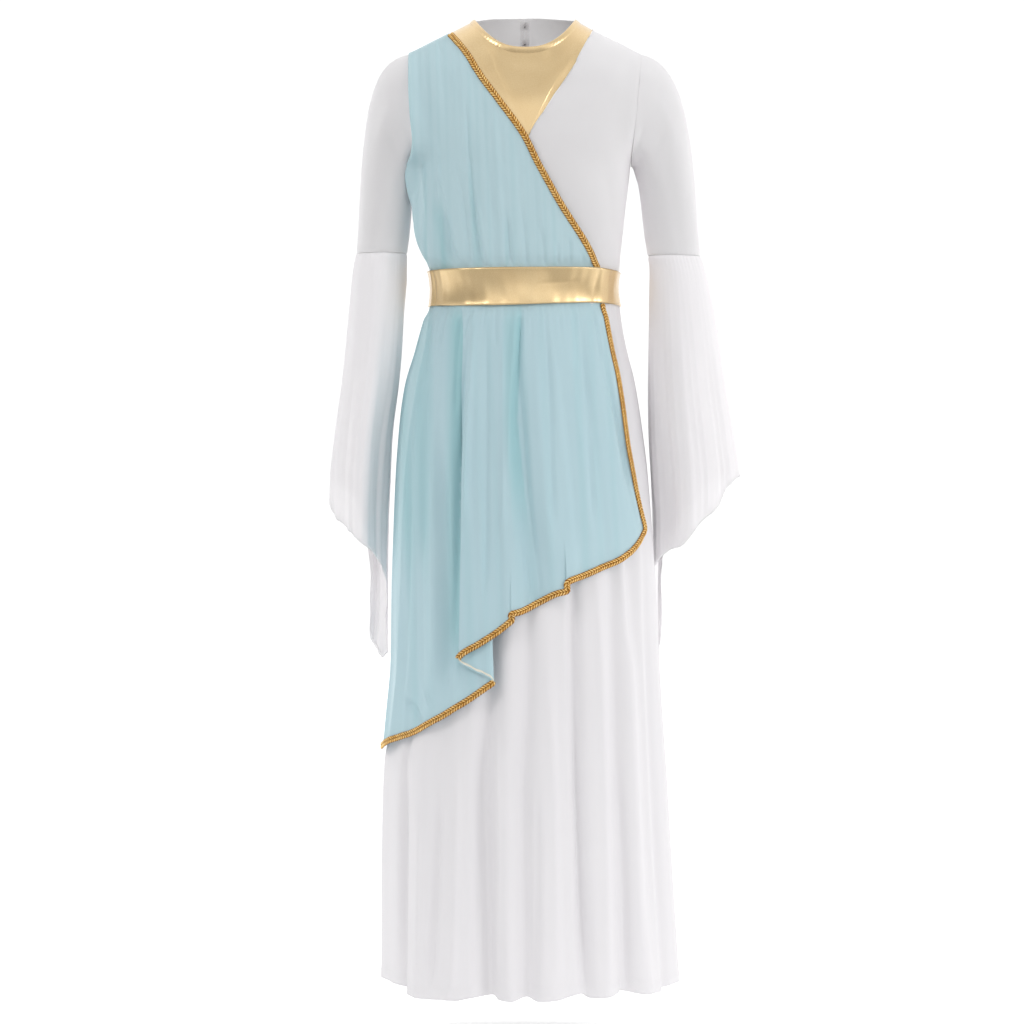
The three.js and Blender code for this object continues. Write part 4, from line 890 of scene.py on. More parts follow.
# the two backs, which meet at the centre
for name, sign in (("left", 1), ("right", -1)):
    xt = spread(0.0, SHOULDER_TIP, 90) * sign
    if sign > 0:
        xt = xt[::-1]
        P = panel(1, lambda z: 0 * z + SEAM, side_line(1), back_top, np.maximum(xt, SEAM), 140)
    else:
        P = panel(1, side_line(-1), lambda z: 0 * z - SEAM, back_top, np.minimum(xt, -SEAM), 140)
    x, z = P[..., 0], P[..., 2]
    inner = np.abs(x)
    soft = (
        0.4 * field(x / 60, z / 100, 41 + sign)
        - 1.0 * np.exp(-(((inner - 100 - 0.1 * (z + 230)) / 8) ** 2)) * smooth((z + 290) / 40) * smooth((-140 - z) / 50)
        - 0.9 * np.exp(-(((inner - 52 + 0.25 * (z + 260)) / 9) ** 2)) * smooth((z + 300) / 30) * smooth((-200 - z) / 50)
    )
    P = P + normals(P) * soft[..., None]
    # the seam at the centre, and the edge that is folded in where it opens
    P = settle(P)
    P = turned(press(P, "l" if sign > 0 else "r", 0.3, 1.1, 0.10, 8.0, 51 + sign), "l" if sign > 0 else "r", 1.6)
    o = keep(cloth("back_bodice_%s_cloth" % name, P, jersey, thick=0.8), "back_bodice_" + name)


def back_point(x, z, off):
    p, q, r = bodice(1, x, z), bodice(1, x, z - 2), bodice(1, x, z + 2)
    d = r - q
    n = np.stack([0 * d[..., 0], d[..., 2], -d[..., 1]], -1)
    n /= np.linalg.norm(n, axis=-1, keepdims=True)
    return p + n * off, n


# the placket behind the opening
zz = np.linspace(NECK_BACK - 2.6 - 94, NECK_BACK - 2.6, 70)[:, None]
xx = np.linspace(-5.5, 5.5, 15)[None]
P, n = back_point(xx + 0 * zz, zz + 0 * xx, -1.5)
placket = keep(cloth("back_placket_cloth", P + n * (0.15 * np.cos(xx / 5.5 * 9))[..., None], placket_cloth, flip=True), "back_placket")
# its stitching, and the threads of the two buttons, which show inside the back of the neck
rowsz = np.linspace(-84, 3.5, 60)
for k, side in enumerate((-4.2, 4.2)):
    p, n = back_point(np.full(60, side), rowsz, -1.85)
    keep(stitches("placket_stitches_%d" % k, p, -n, thread, pitch=2.8, length=1.7, radius=0.12), None)
for k, bz in enumerate(BUTTON_Z):
    p, n = back_point(np.array([0.0]), np.array([bz]), -2.1)
    knot = []
    ups = []
    for a in (-0.55, 0.0, 0.55):
        knot.append(p[0] + np.array([np.linspace(-0.75, 0.75, 4), 0 * np.linspace(0, 1, 4), a + 0.25 * np.linspace(-1, 1, 4)]).T)
        ups.append(np.tile(-n[0], (4, 1)))
    pts, faces = tubes(np.array(knot), np.array(ups), np.full((3, 4), 0.3), 4)
    keep(make("button_thread_%d" % k, pts, faces, dark_thread))

# two small buttons with rims, each with four thread holes sewn across, and the thread loops that hold them
for k, (bz, node) in enumerate(zip(BUTTON_Z, ("button_upper", "button_lower"))):
    p, n = back_point(np.array([0.0]), np.array([bz]), 0.9)
    centre, out = p[0], n[0]
    sx = np.array([1.0, 0, 0])
    sy = np.cross(out, sx)
    prof = table("r h", (4.2, 0.0), (4.25, 0.6), (4.05, 1.15), (3.6, 1.45), (3.1, 1.4), (2.7, 1.05), (2.0, 0.95), (1.2, 0.95), (0.02, 0.95))
    turn = np.arange(48) / 48 * 2 * math.pi
    ring = sx[None] * np.cos(turn)[:, None] + sy[None] * np.sin(turn)[:, None]
    P = np.stack([centre + ring * r + out * h for r, h in zip(prof["r"], prof["h"])])
    o = keep(cloth("button_face_%d" % k, P, button_mat, closed=True, flip=True), node)
    holes, ups = [], []
    for a in (-0.5, 0.5):
        t = np.linspace(-1, 1, 5)
        holes.append(centre + np.outer(t * 0.85, sx) + sy * a * 1.2 + np.outer(1.15 + 0.12 * (1 - t * t), out))
        ups.append(np.tile(out, (5, 1)))
    t = np.linspace(0, math.pi, 5)
    pts, faces = tubes(np.array(holes), np.array(ups), np.full((2, 5), 0.24), 4)
    keep(make("button_sewing_%d" % k, pts, faces, thread))
    a = np.linspace(-0.62 * math.pi, 0.62 * math.pi, 26)
    line = centre + np.outer(-4.7 * np.cos(a) + 0.0, sx) * 1.0 + np.outer(4.7 * np.sin(a), sy) + out * 0.35
    line = np.concatenate([[centre + sx * 6.8 + sy * -1.2 - out * 0.5], line, [centre + sx * 6.8 + sy * 1.2 - out * 0.5]])
    pts, faces = tubes(line[None], np.tile(out, (1, len(line), 1)), np.full((1, len(line)), 0.42), 6)
    keep(make("button_loop_%d" % k, pts, faces, thread))


# ------------------------------------------------------------------ overlay of aqua chiffon
def surface_normal(side, x, z, e=1.5):
    dx = bodice(side, x + e, z) - bodice(side, x - e, z)
    dz = bodice(side, x, np.minimum(z + e, shoulder(x))) - bodice(side, x, z - e)
    n = np.cross(dx, dz) * (1 if side < 0 else -1)
    return n / np.maximum(np.linalg.norm(n, axis=-1, keepdims=True), 1e-9)


def overlay_grid(s, v):
    s, v = s[None, :], v[:, None]
    below = (1 - v) ** 1.25
    xt = -SHOULDER_TIP + 1.5 + (SHOULDER_TIP - 1.5 - 88.5) * s
    zt = shoulder(xt) - 0.4
    z = zt - (zt - BODICE_BOTTOM) * below
    share = (z - WAIST_TOP) / (zt - WAIST_TOP)
    left = -bodice_edge(z) + 1.2 * smooth((z - UNDERARM) / 20)
    right = cross_edge(z) + 0.6
    a = np.arcsin(clip(left / bodice_reach(z), -1, 1))
    b = np.arcsin(clip(right / bodice_reach(z), -1, 1))
    x = bodice_reach(z) * np.sin(a + (b - a) * s)
    z = np.minimum(z, shoulder(x) - 0.4) + 0 * s
    off = 0.7 + (clear_middle(share) - 0.7) * smooth((z - WAIST_TOP) / 16) * smooth(s / 0.05) * smooth((shoulder(x) - z) / 40)
    where = puff_share(z)
    bulge = np.exp(-(((s - where) / 0.075) ** 2)) * smooth(s / 0.03 + 0.25 * smooth((z - UNDERARM) / 20))
    base = settle(bodice(-1, x, z))
    n = settle(surface_normal(-1, x, z))
    down = WAIST_TOP - z
    detail = creases(OVERLAY_CREASES, x, z) * smooth(s / 0.05)
    along = (x + 120) * 1.0
    detail = detail + gathers(along, z - (WAIST_TOP - 2), 9.4, 1.15, 30, 61)
    detail = detail + (0.5 * field(x / 30, z / 130, 71) + 0.45 * wander(x / 6.5 + z / 90, 73)) * smooth(s / 0.1)
    top = shoulder(x) - z
    detail = detail + gathers(along, top, 9.0, 0.6, 18, 67)
    detail = detail * smooth((z - WAIST_TOP + 0.6) / 9) * smooth((top + 1) / 8)
    point = base + n * np.maximum(off + detail, 0.55)[..., None]
    point[..., 0] -= puff_out(z) * bulge
    point[..., 1] -= puff_forward(z) * bulge
    return point


s = np.linspace(0, 1, 210) ** 1.2
v = np.linspace(0, 1, 190)
P = overlay_grid(s, v)
x, z = P[..., 0], P[..., 2]
# painted shade, with some doubled cloth: a deeper, darker teal along the overlay's crease troughs, plus a little random
# tone
doubled_and_shaded = 0.8 * np.exp(-(((x + 100 + 0.12 * (z + 260)) / 6.5) ** 2)) * smooth((-205 - z) / 40)
doubled_and_shaded = doubled_and_shaded + 0.5 * np.exp(-(((x + 118) / 2.2) ** 2)) * smooth((-160 - z) / 30) + 0.45 * np.exp(-(((x + 60 + 0.1 * (z + 250)) / 4.0) ** 2)) * smooth((-150 - z) / 70)
doubled_and_shaded = doubled_and_shaded + 0.35 * np.exp(-(((x + 22) / 2.4) ** 2)) * smooth((-225 - z) / 30) + 0.20 * wander(x / 6 + z / 200, 109)
overlay = keep(cloth("bodice_overlay_cloth", P, aqua, shade=clip(doubled_and_shaded, 0, 1)), "bodice_overlay")
edge_path = P[:, -3]
edge_normal = normals(P)[:, -6]

# its braid runs up over the shoulder seam
use = edge_path[:, 2] < 200
path, ups = edge_path[use], edge_normal[use]
ups = ups / np.linalg.norm(ups, axis=1, keepdims=True)
for _ in range(6):  # the braid is stiffer than the cloth, so it doesn't follow each small gather
    path[1:-1] = (path[:-2] + 2 * path[1:-1] + path[2:]) / 4
    ups[1:-1] = (ups[:-2] + 2 * ups[1:-1] + ups[2:]) / 4
path = path[1:-7]
ups = ups[1:-7] / np.linalg.norm(ups[1:-7], axis=1, keepdims=True)
bodice_braid = keep(braid("bodice_braid_gimp", path + ups * 0.45, ups, gimp_mat), "bodice_braid")

# ------------------------------------------------------------------ gold waistband
BAND_TOP = table("angle z", (-180, -300), (-90, -300), (-45, -299.2), (0, -298.2), (40, -297.8), (55, -299), (90, -302), (180, -300))
BAND_LOW = table("angle z", (-180, -343), (-90, -341.8), (-20, -343.4), (25, -340.6), (45, -339.4), (90, -341.4), (180, -343))
band_top, band_low = column(BAND_TOP, "angle", "z"), column(BAND_LOW, "angle", "z")
COLS = 400
angle = -180 + 360 * np.arange(COLS) / COLS
prof = np.concatenate([np.linspace(-0.05, 0, 3)[:-1], np.linspace(0, 1, 21), np.linspace(1, 1.05, 3)[1:]])
z_low, z_top = band_low(angle)[None], band_top(angle)[None]
t = prof[:, None]
inside = clip(t, 0, 1)
z = z_low + (z_top - z_low) * inside
full = 3.0 - 2.1 * np.sin(math.pi * inside)
full = full + 0.5 * np.exp(-((inside - 0.0) / 0.05) ** 2) + 0.4 * np.exp(-((inside - 1.0) / 0.05) ** 2)
edge_in = np.where((t < 0) | (t > 1), -1.6, 0)
a = angle[None]
full = full + edge_in - 1.5 * smooth((a - 62) / 20) * smooth((118 - a) / 20) + 1.2 * inside * smooth((-24 - a) / 16)
full = full - 1.3 * np.exp(-(((a + 69) / 1.6) ** 2)) * (0.7 + 0.3 * np.sin(3 * inside)) + 0.9 * np.exp(-(((a + 73.5) / 2.4) ** 2))
full = full + 0.9 * smooth((a - 46.5) / 3.2) * smooth((62 - a) / 10) * (0.5 + 0.5 * inside) - 0.8 * np.exp(-(((a - 45.5) / 2.0) ** 2))
full = full + 0.34 * field(a / 26, inside / 1.1, 81) + 0.22 * field(a / 7.5, inside / 1.6, 83)
full = full + 1.5 * smooth((a - 8) / 8) * smooth((52 - a) / 8) * np.exp(-(((1 - inside) / 0.26) ** 2))
full = full + 1.1 * smooth((a + 28) / 9) * smooth((22 - a) / 9) * np.exp(-((inside / 0.28) ** 2))
full = full - 0.25 * np.exp(-(((inside - 0.56 - 0.004 * (a - 12)) / 0.05) ** 2)) * smooth((a - 4) / 8) * smooth((34 - a) / 8)
full = full + 0.14 * np.sin(a / 2.1) * np.exp(-inside * 9) + 0.18 * np.sin(a / 1.8 + 1) * np.exp(-(1 - inside) * 10)
c, sn = np.cos(np.radians(a)), np.sin(np.radians(a))
# at its top the band has the bodice's section and at its foot the skirt's
squarer = 1 / (1 + 0.2 * smooth(inside))
c, sn = np.sign(c) * np.abs(c) ** squarer, np.sign(sn) * np.abs(sn) ** squarer
P = np.stack([(WAIST_HALF + full) * sn, -((np.where(c > 0, 78, 72)) + full) * c, z + 0 * a], -1)
P[:, :, 2] += np.where(t < 0, 1.2, 0) - np.where(t > 1, 1.2, 0)
band = keep(cloth("gold_waistband_cloth", P, gold, closed=True, thick=1.2), "gold_waistband")

# ------------------------------------------------------------------ white skirt


def skirt_detail(angle, z, x, table_):
    girth = np.radians(angle) * 120
    down = SKIRT_TOP - z
    grow = smooth((-420 - z) / 400)
    d = gathers(girth, down + 3, 9.5, 1.5, 40, 91) * smooth((down + 3.2) / 9)
    d = d + 0.42 * grow * wander(girth / 9.0, 95, 4) + 0.5 * field(girth / 70, z / 260, 97)
    return d + creases(table_, x, z) * (1.7 if table_ is BACK_CREASES else 1.0)


def skirt_piece(name, lo, hi, cols, rows, table_):
    waist = np.linspace(lo, hi, cols)[None]
    keys = np.concatenate([[lo], SKIRT_FOLDS["waist"][(SKIRT_FOLDS["waist"] > lo) & (SKIRT_FOLDS["waist"] < hi)], [hi]])
    vals = np.concatenate([[lo], SKIRT_FOLDS["hem"][(SKIRT_FOLDS["waist"] > lo) & (SKIRT_FOLDS["waist"] < hi)], [hi]])
    shift = np.interp(waist[0], keys, vals)[None] - waist
    v = np.linspace(0, 1, rows)[:, None]
    angle = waist + shift * (1 - v)
    bottom = hem_edge(angle)
    top = SKIRT_TOP + 5.0
    z = bottom + (top - bottom) * v
    base = skirt(angle, np.minimum(z, -342))
    base[..., 2] = z
    side = out_of_skirt(angle, z)
    d = skirt_detail(angle, z, base[..., 0], table_)
    # the hem is turned up 12 mm, stitched, and ripples a little below the stitching
    up = z - bottom
    d = d + 0.45 * smooth((12.5 - up) / 1.2) - 0.35 * np.exp(-(((up - 12.6) / 1.0) ** 2))
    d = d + 0.5 * np.sin(np.radians(angle) * 120 / 2.3 + 2 * wander(np.radians(angle) * 4, 99)) * np.exp(-up / 9)
    at_seam = np.minimum(np.abs(angle - lo), np.abs(hi - angle)) * 2.4
    d = d * smooth(at_seam / 9 + 0.05) - 0.9 * np.exp(-((at_seam / 2.2) ** 2))
    P = base + side * d[..., None]
    # the turned-up layer inside the hem
    inner = P[:14:1].copy()
    fold = np.linspace(1, 0, 8)[:, None, None]
    low = P[0][None]
    up_rows = []
    for k in range(7, 0, -1):
        f = k / 7.0
        j = 12.0 * f / (P[:, :, 2][-1] - P[:, :, 2][0]) * (rows - 1)
        j0 = j.astype(int)
        w = (j - j0)[..., None]
        cols_ = np.arange(cols)
        q = P[j0, cols_] * (1 - w) + P[j0 + 1, cols_] * w
        up_rows.append(q - side[0] * (0.5 + 0.25 * min(1, f * 3)))
    up_rows.append(P[0] - side[0] * 0.3 + np.array([0, 0, -0.25]))
    full_grid = np.concatenate([np.stack(up_rows), P])
    o = keep(cloth(name + "_cloth", full_grid, skirting), name)
    # stitching line of the hem
    j = 12.2 / (P[:, :, 2][-1] - P[:, :, 2][0]) * (rows - 1)
    j0 = j.astype(int)
    w = (j - j0)[..., None]
    line = P[j0, np.arange(cols)] * (1 - w) + P[j0 + 1, np.arange(cols)] * w
    keep(stitches(name + "_hem_stitches", line, side[8], thread, pitch=4.0, length=2.4, radius=0.2, rise=0.12))
    return o


front_skirt = skirt_piece("skirt_front", -90, 90, 245, 195, SKIRT_CREASES)
back_skirt = skirt_piece("skirt_back", 90, 270, 180, 140, BACK_CREASES)


# ------------------------------------------------------------------ aqua overskirt
def over_surface(share, drop, off=0.0):
    share, drop = np.broadcast_arrays(np.asarray(share, float), np.asarray(drop, float))
    bottom = over_hem(share)
    z = np.where(drop < 0, OVER_TOP - 600 * drop, OVER_TOP + (bottom - OVER_TOP) * drop)
    even = over_waist(share)
    fall = clip(drop, 0, 1)
    # the pleat opens early, so that its fold hangs plumb; the small laps are only in the hem
    pleat = np.exp(-(((share - 0.53) / 0.085) ** 2))
    opened = fall ** 0.75 * (1 - pleat) + np.minimum(1, fall / 0.55) ** 0.6 * pleat
    lap = smooth((fall - 0.74) / 0.24)
    hangs = angle_above(share) + (over_angle(share) - angle_above(share)) * lap
    lift = (lift_above(share) + (over_lift(share) - lift_above(share)) * lap) * fall ** 0.5
    base = even + (hangs - even) * opened
    angle = base + np.where(share > 0.85, ((share - 0.85) / 0.15) ** 2 * (over_edge(z) - base), 0)
    to_side = clip(-angle / 90, 0, 1) ** 2
    lies = over_front(z) + (over_side(z) - over_front(z)) * to_side + lift
    lies = 0.8 + (lies - 0.8) * smooth((OVER_TOP - z) / 16)
    lies = lies + folds(OVER_FOLDS, angle, z, bottom - 200)
    flat = folds(SKIRT_FOLDS, angle, z, HEM)
    out = out_of_skirt(angle, z)
    ground = skirt(angle, np.minimum(z, -342))
    ground[..., 2] = z
    girth = np.radians(angle) * 120
    down = OVER_TOP - z
    d = gathers(girth, down + 3, 8.4, 1.5, 34, 101)
    d = d + creases(OVER_CREASES, ground[..., 0], z)
    d = d + 0.75 * smooth(down / 120) * wander(girth / 8.0 + z / 160, 103, 5) + 0.4 * field(girth / 60, z / 260, 105)
    at_edge = (1 - share) * 300
    d = d * smooth(at_edge / 14 + 0.15) * smooth((down + 3.2) / 10)
    under = skirt_detail(angle, z, ground[..., 0], SKIRT_CREASES)
    layer = 0.6 * lift
    above = np.maximum(lies - np.minimum(0, flat) + d, np.maximum(under, 0) * smooth((down + 3) / 8) + 0.75 + layer)
    P = ground + out * (above + off)[..., None]
    return P, out


shares = np.concatenate([np.linspace(0, 0.44, 100)[:-1], np.linspace(0.44, 0.6, 85)[:-1], np.linspace(0.6, 1, 120)])
drops = np.linspace(1, -0.012, 163)
P, out = over_surface(shares[None], drops[:, None])
x, z = P[..., 0], P[..., 2]
# painted shade, partly cloth doubled in the pleat: a deeper, darker teal just left of the pleat's fold edge and left of
# the middle fold, and towards the wearer's right side, plus a little random tone
fold_edge = np.interp(-z, (380, 470, 580, 760), (-75, -77, -79, -78))
past = x - fold_edge
doubled_and_shaded = 0.9 * smooth((past + 24) / 20) * (past < 3) * (shares[None] < 0.52) * smooth((z + 800) / 90)
middle = np.interp(-z, (349, 480, 621), (-4, -9, 5))
past = x - middle
doubled_and_shaded = doubled_and_shaded + 0.85 * smooth((past + 30) / 26) * smooth((1.0 - past) / 2.0) * (shares[None] > 0.6) * smooth((z + 640) / 110)
doubled_and_shaded = doubled_and_shaded + 0.5 * smooth((-104 - x) / 14) * smooth((z + 700) / 120) + 0.22 * wander(x / 9 + z / 200, 107)
doubled_and_shaded = doubled_and_shaded * smooth((OVER_TOP - z) / 40 + 0.3)
overskirt = keep(cloth("aqua_overskirt_cloth", P, aqua_skirt, shade=clip(doubled_and_shaded, 0, 1)), "aqua_overskirt")


def over_braid(name, node, share, drop, seed):
    p, n = over_surface(share, drop)
    for _ in range(4):
        p[1:-1] = (p[:-2] + 2 * p[1:-1] + p[2:]) / 4
        n[1:-1] = (n[:-2] + 2 * n[1:-1] + n[2:]) / 4
    n /= np.linalg.norm(n, axis=1, keepdims=True)
    return keep(braid(name, p + n * 0.5, n, gimp_mat, seed=seed), node)


down_edge = np.linspace(-0.004, 0.97, 150)
corner = np.linspace(0, 1, 14)[1:]
along = np.linspace(0.988, 0.5655, 260)
share = np.concatenate([np.full(150, 0.994), 0.994 - 0.006 * corner, along[1:]])
drop = np.concatenate([down_edge, 0.97 + 0.022 * np.sin(corner * math.pi / 2), np.full(259, 0.992)])
braid_upper = over_braid("overskirt_braid_upper_gimp", "overskirt_braid_upper", share, drop, 13)
share = np.linspace(0.474, 0.003, 240)
braid_lower = over_braid("overskirt_braid_lower_gimp", "overskirt_braid_lower", share, np.full(240, 0.992), 17)

# where the hem turns back inside the pleat its braid lies behind, and only the thin pale edge of the hem shows
share = np.linspace(0.477, 0.564, 60)
strip = []
for k, (up_, off_) in enumerate(((2.4, 0.25), (1.9, 0.75), (0.6, 0.8), (-0.3, 0.35), (0.2, -0.3))):
    p, n = over_surface(share, np.full(60, 0.995))
    p = p + n * off_
    p[:, 2] += up_ + 0.35 * np.sin(share * 260 + k * 0.2)
    strip.append(p)
reverse = keep(cloth("overskirt_reverse_edge", np.stack(strip[::-1]), pale_edge))

# ------------------------------------------------------------------ sleeves
for side, S in SLEEVES.items():
    sign = S["sign"]
    cz, ci, co, cd, cb = S["cuff"]
    middle, half = (ci + co) / 2, (co - ci) / 2
    low, high = UNDERARM + 1.5, float(shoulder(SHOULDER_TIP))
    COLS, ROWS = 100, 85
    turn = (np.arange(COLS) / COLS * 2 * math.pi)[None]
    zz = (low + high) / 2 + (high - low) / 2 * np.cos(turn)
    face_front = bodice(-1, bodice_edge(zz), zz)
    face_back = bodice(1, bodice_edge(zz), zz)
    p0 = np.where((np.sin(turn) >= 0)[..., None], face_front, face_back)
    under = (1 - np.cos(turn)) / 2
    top = 1 - under
    p0[..., 0] += 1.6 * under ** 6 - 0.25
    p3 = np.stack([middle + half * np.cos(turn), cb - cd * np.sin(turn), np.full_like(turn, cz + 0.2)], -1)
    p1 = p0 + np.stack([62 * top + 7 * under + 6 * np.sin(turn) ** 2, (p3[..., 1] - p0[..., 1]) * (0.2 + 0.5 * np.sin(turn) ** 2), -11 * top - 6 * under ** 0.5 * top ** 0.5 + 2 * under], -1)
    p2 = p3 + np.stack([-10 * top - 7 * under, 0 * top, 108 * top + 42 * under], -1)
    v = np.linspace(0, 1, ROWS)[:, None, None]
    w = 1 - v
    P = w ** 3 * p0 + 3 * w * w * v * p1 + 3 * w * v * v * p2 + v ** 3 * p3
    n = normals(P, True)
    deg = np.degrees(turn) + 0 * v[..., 0]
    f = v[..., 0] + 0 * turn
    girth = np.radians(deg) * 34
    d = 0.5 * field(girth / 60, f * 1.6, 111 + sign)
    # soft drag lines below the shoulder and from the underarm, and ease above the bell's seam
    for (a0, f0, a1, f1, wide, deep) in (
        (60, 0.10, 40, 0.55, 14, -1.0), (120, 0.06, 90, 0.40, 12, -1.6), (150, 0.12, 120, 0.62, 12, -1.4),
        (95, 0.45, 75, 0.95, 12, -0.9), (300, 0.10, 320, 0.5, 14, -1.0), (240, 0.06, 270, 0.42, 12, -1.6),
        (210, 0.12, 240, 0.6, 12, -1.4), (20, 0.5, 10, 0.95, 10, -0.8), (280, 0.5, 290, 0.96, 12, -0.9),
        (70, 0.2, 66, 0.5, 9, 0.8), (180, 0.3, 170, 0.8, 12, -0.9),
    ):
        g = (f - f0) / (f1 - f0)
        mid = a0 + (a1 - a0) * g
        fade = smooth(g * 4 + 0.2) * smooth((1.1 - g) * 4) * ((g > -0.1) & (g < 1.1))
        d = d + deep * fade * np.exp(-((((deg - mid + 180) % 360 - 180) / wide) ** 2))
    away = f * 100
    d = d + 0.05 * np.sin(girth / 1.35 + wander(girth / 20, 5)) * np.exp(-away / 7)
    end = (1 - f) * 200
    d = d - 0.9 * np.exp(-((end / 1.6) ** 2)) + 0.22 * np.sin(girth / 1.1) * np.exp(-end / 5)
    P = P - n * d[..., None] * np.sign(np.sum(n[40] * (P[40].mean(0) - P[40]), axis=-1).mean())
    P[..., 0] *= sign
    upper = keep(cloth("sleeve_upper_%s_cloth" % side, P, jersey, closed=True, flip=sign < 0, thick=0.8), "sleeve_upper_" + side)

    # the bell: sheer, single layer, with a narrow turned hem
    bell = S["bell"]
    inner, outer, outer_back = (column(bell, "z", k) for k in ("inner", "outer", "outerBack"))
    deep_, back_ = column(bell, "z", "deep"), column(bell, "z", "back")
    hem = column(S["hem"], "round", "z")
    COLS, ROWS = 210, 122
    rnd = (np.arange(COLS) / COLS * 360)[None]
    v = np.linspace(0, 1, ROWS)[:, None]
    bottom = hem(rnd)
    z = cz - 0.2 + (bottom - cz + 0.2) * v ** 1.02
    c, s_ = np.cos(np.radians(rnd)), np.sin(np.radians(rnd))
    reach = outer(z) + (outer_back(z) - outer(z)) * clip(s_ / 0.6, 0, 1)
    m, h = (inner(z) + reach) / 2, (reach - inner(z)) / 2
    P = np.stack([m + h * c, back_(z) + deep_(z) * s_, z + 0 * rnd], -1)
    n = normals(P, True)
    inward = np.sign(np.sum(n[40] * (P[40].mean(0) - P[40]), axis=-1).mean())
    girth = np.radians(rnd) * 50
    down = cz - z
    grow = smooth(down / 240)
    d = gathers(girth + 0 * z, down + 1, 7.3, 0.7, 26, 121 + sign)
    for (a0, a1, start, wide, deep) in (
        (300, 305, 20, 13, -3.2), (330, 336, 60, 10, 3.0), (262, 258, 30, 14, 3.4), (232, 226, 50, 12, -3.6),
        (205, 200, 30, 12, 2.4), (20, 24, 60, 10, -2.6), (48, 52, 30, 12, 3.2), (75, 78, 60, 12, -3.4),
        (104, 104, 30, 13, 3.0), (132, 134, 50, 12, -3.0), (160, 162, 40, 10, 2.2), (282, 281, 90, 8, -1.8),
        (352, 354, 40, 9, -1.6),
    ):
        grown = smooth((down - start) / 260)
        mid = a0 + (a1 - a0) * grown
        d = d + deep * grown * np.exp(-((((rnd - mid + 180) % 360 - 180) / wide) ** 2))
    d = d + 0.8 * grow * wander(girth / 5.0, 131 + sign, 4) + 0.5 * field(girth / 40, z / 150, 133 + sign)
    up = (z - bottom)
    d = d + 0.6 * np.sin(girth / 2.0 + 2 * wander(girth / 30, 8)) * np.exp(-up / 8)
    d = d - 0.8 * np.exp(-((down / 1.6) ** 2))
    P = P - n * (d * inward)[..., None]
    nn = -normals(P, True) * inward
    # the hem is turned inside by 5 mm
    turned = []
    for k in range(1, 5):
        j = ROWS - 1 - 5.0 * (k / 4) / np.maximum(np.linalg.norm(P[-1] - P[-2], axis=-1), 0.5)
        j0 = np.maximum(j.astype(int), 1)
        w = (j - j0)[..., None]
        cols_ = np.arange(COLS)
        turned.append(P[j0, cols_] * (1 - w) + P[np.minimum(j0 + 1, ROWS - 1), cols_] * w - nn[-1] * (0.3 + 0.15 * min(k, 2)))
    P = np.concatenate([P, np.stack(turned)])
    P[..., 0] *= sign
    bell_piece = keep(cloth("sleeve_bell_%s_cloth" % side, P, chiffon, closed=True, flip=sign < 0), "sleeve_bell_" + side)
    S["pieces"] = (upper, bell_piece)

# ------------------------------------------------------------------ floor, light and camera
floor_z = -1.215
me = bpy.data.meshes.new("floor")
me.from_pydata([(-9, -9, floor_z), (9, -9, floor_z), (9, 14, floor_z), (-9, 14, floor_z)], [], [(0, 1, 2, 3)])
floor = bpy.data.objects.new("floor", me)
bpy.context.scene.collection.objects.link(floor)
fm = Nodes("pale_floor", (0.90, 0.90, 0.90), 0.9, specular=0.1)
fm.set("Emission Color", (1, 1, 1, 1))
place = fm.add("ShaderNodeSeparateXYZ")
fm.link(fm.add("ShaderNodeTexCoord").outputs["Object"], place.inputs[0])
far = fm.math("MULTIPLY", fm.math("ADD", place.outputs[1], 0.7), 1.0)
far.node.use_clamp = True
fm.link(fm.math("MULTIPLY", far, 0.5), fm.p.inputs["Emission Strength"])
grey = fm.add("ShaderNodeValToRGB")
fm.link(fm.math("MULTIPLY", fm.math("ADD", place.outputs[1], 9.0), 1 / 9.0), grey.inputs[0])
for k, (at, tone) in enumerate(((0.40, 0.90), (0.55, 0.40), (0.84, 0.40), (0.92, 0.90))):
    e = grey.color_ramp.elements[k] if k < 2 else grey.color_ramp.elements.new(at)
    e.position, e.color = at, (tone, tone, tone, 1)
fm.link(grey.outputs[0], fm.p.inputs["Base Color"])
me.materials.append(fm.m)

scene = bpy.context.scene
world = bpy.data.worlds.new("studio")
scene.world = world
world.use_nodes = True
wt = world.node_tree
bg = wt.nodes["Background"]
bg.inputs["Strength"].default_value = 1.1
facing = wt.nodes.new("ShaderNodeTexCoord")
split = wt.nodes.new("ShaderNodeSeparateXYZ")
wt.links.new(facing.outputs["Generated"], split.inputs[0])


def wmath(op, a, b):
    n = wt.nodes.new("ShaderNodeMath")
    n.operation = op
    for socket, value in zip(n.inputs, (a, b)):
        if hasattr(value, "links"):
            wt.links.new(value, socket)
        else:
            socket.default_value = value
    return n.outputs[0]


def wramp(value, *stops):
    n = wt.nodes.new("ShaderNodeValToRGB")
    wt.links.new(value, n.inputs[0])
    e = n.color_ramp.elements
    while len(e) < len(stops):
        e.new(0.5)
    for k, (at, grey) in enumerate(stops):
        e[k].position = at
        e[k].color = (grey, grey, grey, 1)
    return n.outputs[0]


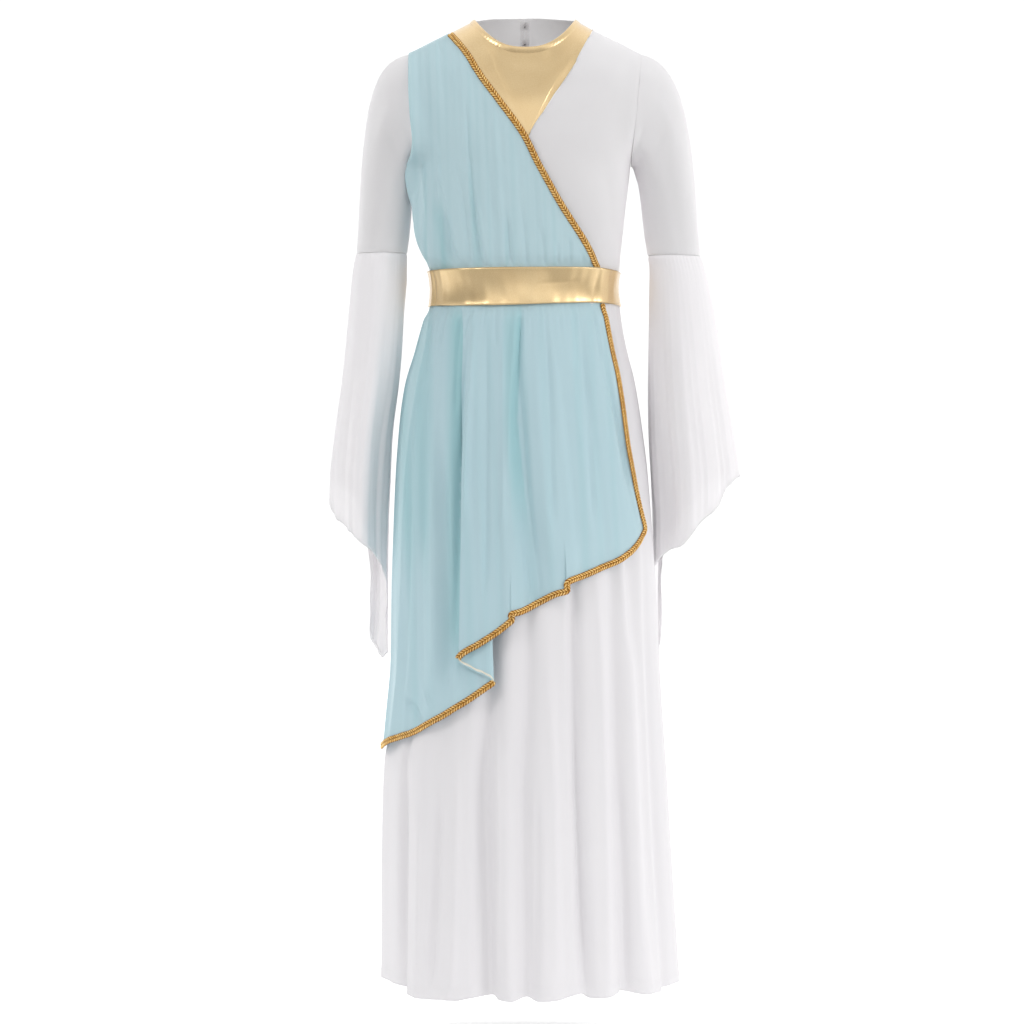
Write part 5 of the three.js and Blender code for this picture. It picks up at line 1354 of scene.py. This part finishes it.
# white behind the dress; in front soft panels at eye height, brighter on the right, and a dim ceiling
up = wmath("MULTIPLY_ADD", split.outputs["Z"], 0.5)
up.node.inputs[2].default_value = 0.5
front = wramp(up, (0.0, 0.55), (0.35, 0.62), (0.47, 0.80), (0.54, 0.98), (0.66, 1.0), (0.76, 0.92), (0.84, 0.50), (1.0, 0.85))
side_ = wmath("MULTIPLY_ADD", split.outputs["X"], 0.10)
side_.node.inputs[2].default_value = 0.95
front = wmath("MULTIPLY", front, side_)
across = wmath("MULTIPLY_ADD", split.outputs["X"], 0.5)
across.node.inputs[2].default_value = 0.5
flag = wmath("MULTIPLY", wramp(across, (0.0, 1.0), (0.25, 1.0), (0.36, 0.0)), wramp(up, (0.36, 0.0), (0.44, 1.0), (0.62, 1.0), (0.70, 0.0)))
front = wmath("MULTIPLY", front, wmath("SUBTRACT", 1.0, wmath("MULTIPLY", flag, 0.62)))
behind = wmath("MULTIPLY_ADD", split.outputs["Y"], 0.5)
behind.node.inputs[2].default_value = 0.5
back_share = wramp(behind, (0.46, 0.0), (0.66, 1.0))
mixw = wt.nodes.new("ShaderNodeMix")
mixw.data_type = "FLOAT"
wt.links.new(back_share, mixw.inputs[0])
wt.links.new(front, mixw.inputs[2])
mixw.inputs[3].default_value = 1.0
wt.links.new(mixw.outputs[0], bg.inputs["Color"])


def panel_light(name, place, at, size, power, colour=(1, 1, 1)):
    data = bpy.data.lights.new(name, "AREA")
    data.shape = "RECTANGLE"
    data.size, data.size_y = size
    data.energy = power
    data.color = colour
    o = bpy.data.objects.new(name, data)
    o.location = place
    d = np.array(at) - np.array(place)
    from mathutils import Vector
    o.rotation_euler = Vector(d).to_track_quat("-Z", "Y").to_euler()
    scene.collection.objects.link(o)
    return o


panel_light("key", (2.9, -2.0, 0.9), (0, 0, -0.6), (0.9, 1.4), 24)
panel_light("fill", (-2.4, -2.2, 1.9), (0, 0, -0.5), (1.4, 1.4), 28)

scene.view_settings.view_transform = "Standard"
scene.view_settings.look = "None"
scene.view_settings.exposure = 0.0
scene.view_settings.gamma = 1.0

cam = bpy.data.cameras.new("camera")
cam.sensor_width = 36.0
cam.lens = 36.0 * 5200 / (1024 * 1.2)
cam.clip_end = 60
camera = bpy.data.objects.new("camera", cam)
camera.location = (-0.0156, -5.2, -0.588)
camera.rotation_euler = (math.radians(90), 0, 0)
scene.collection.objects.link(camera)
scene.camera = camera
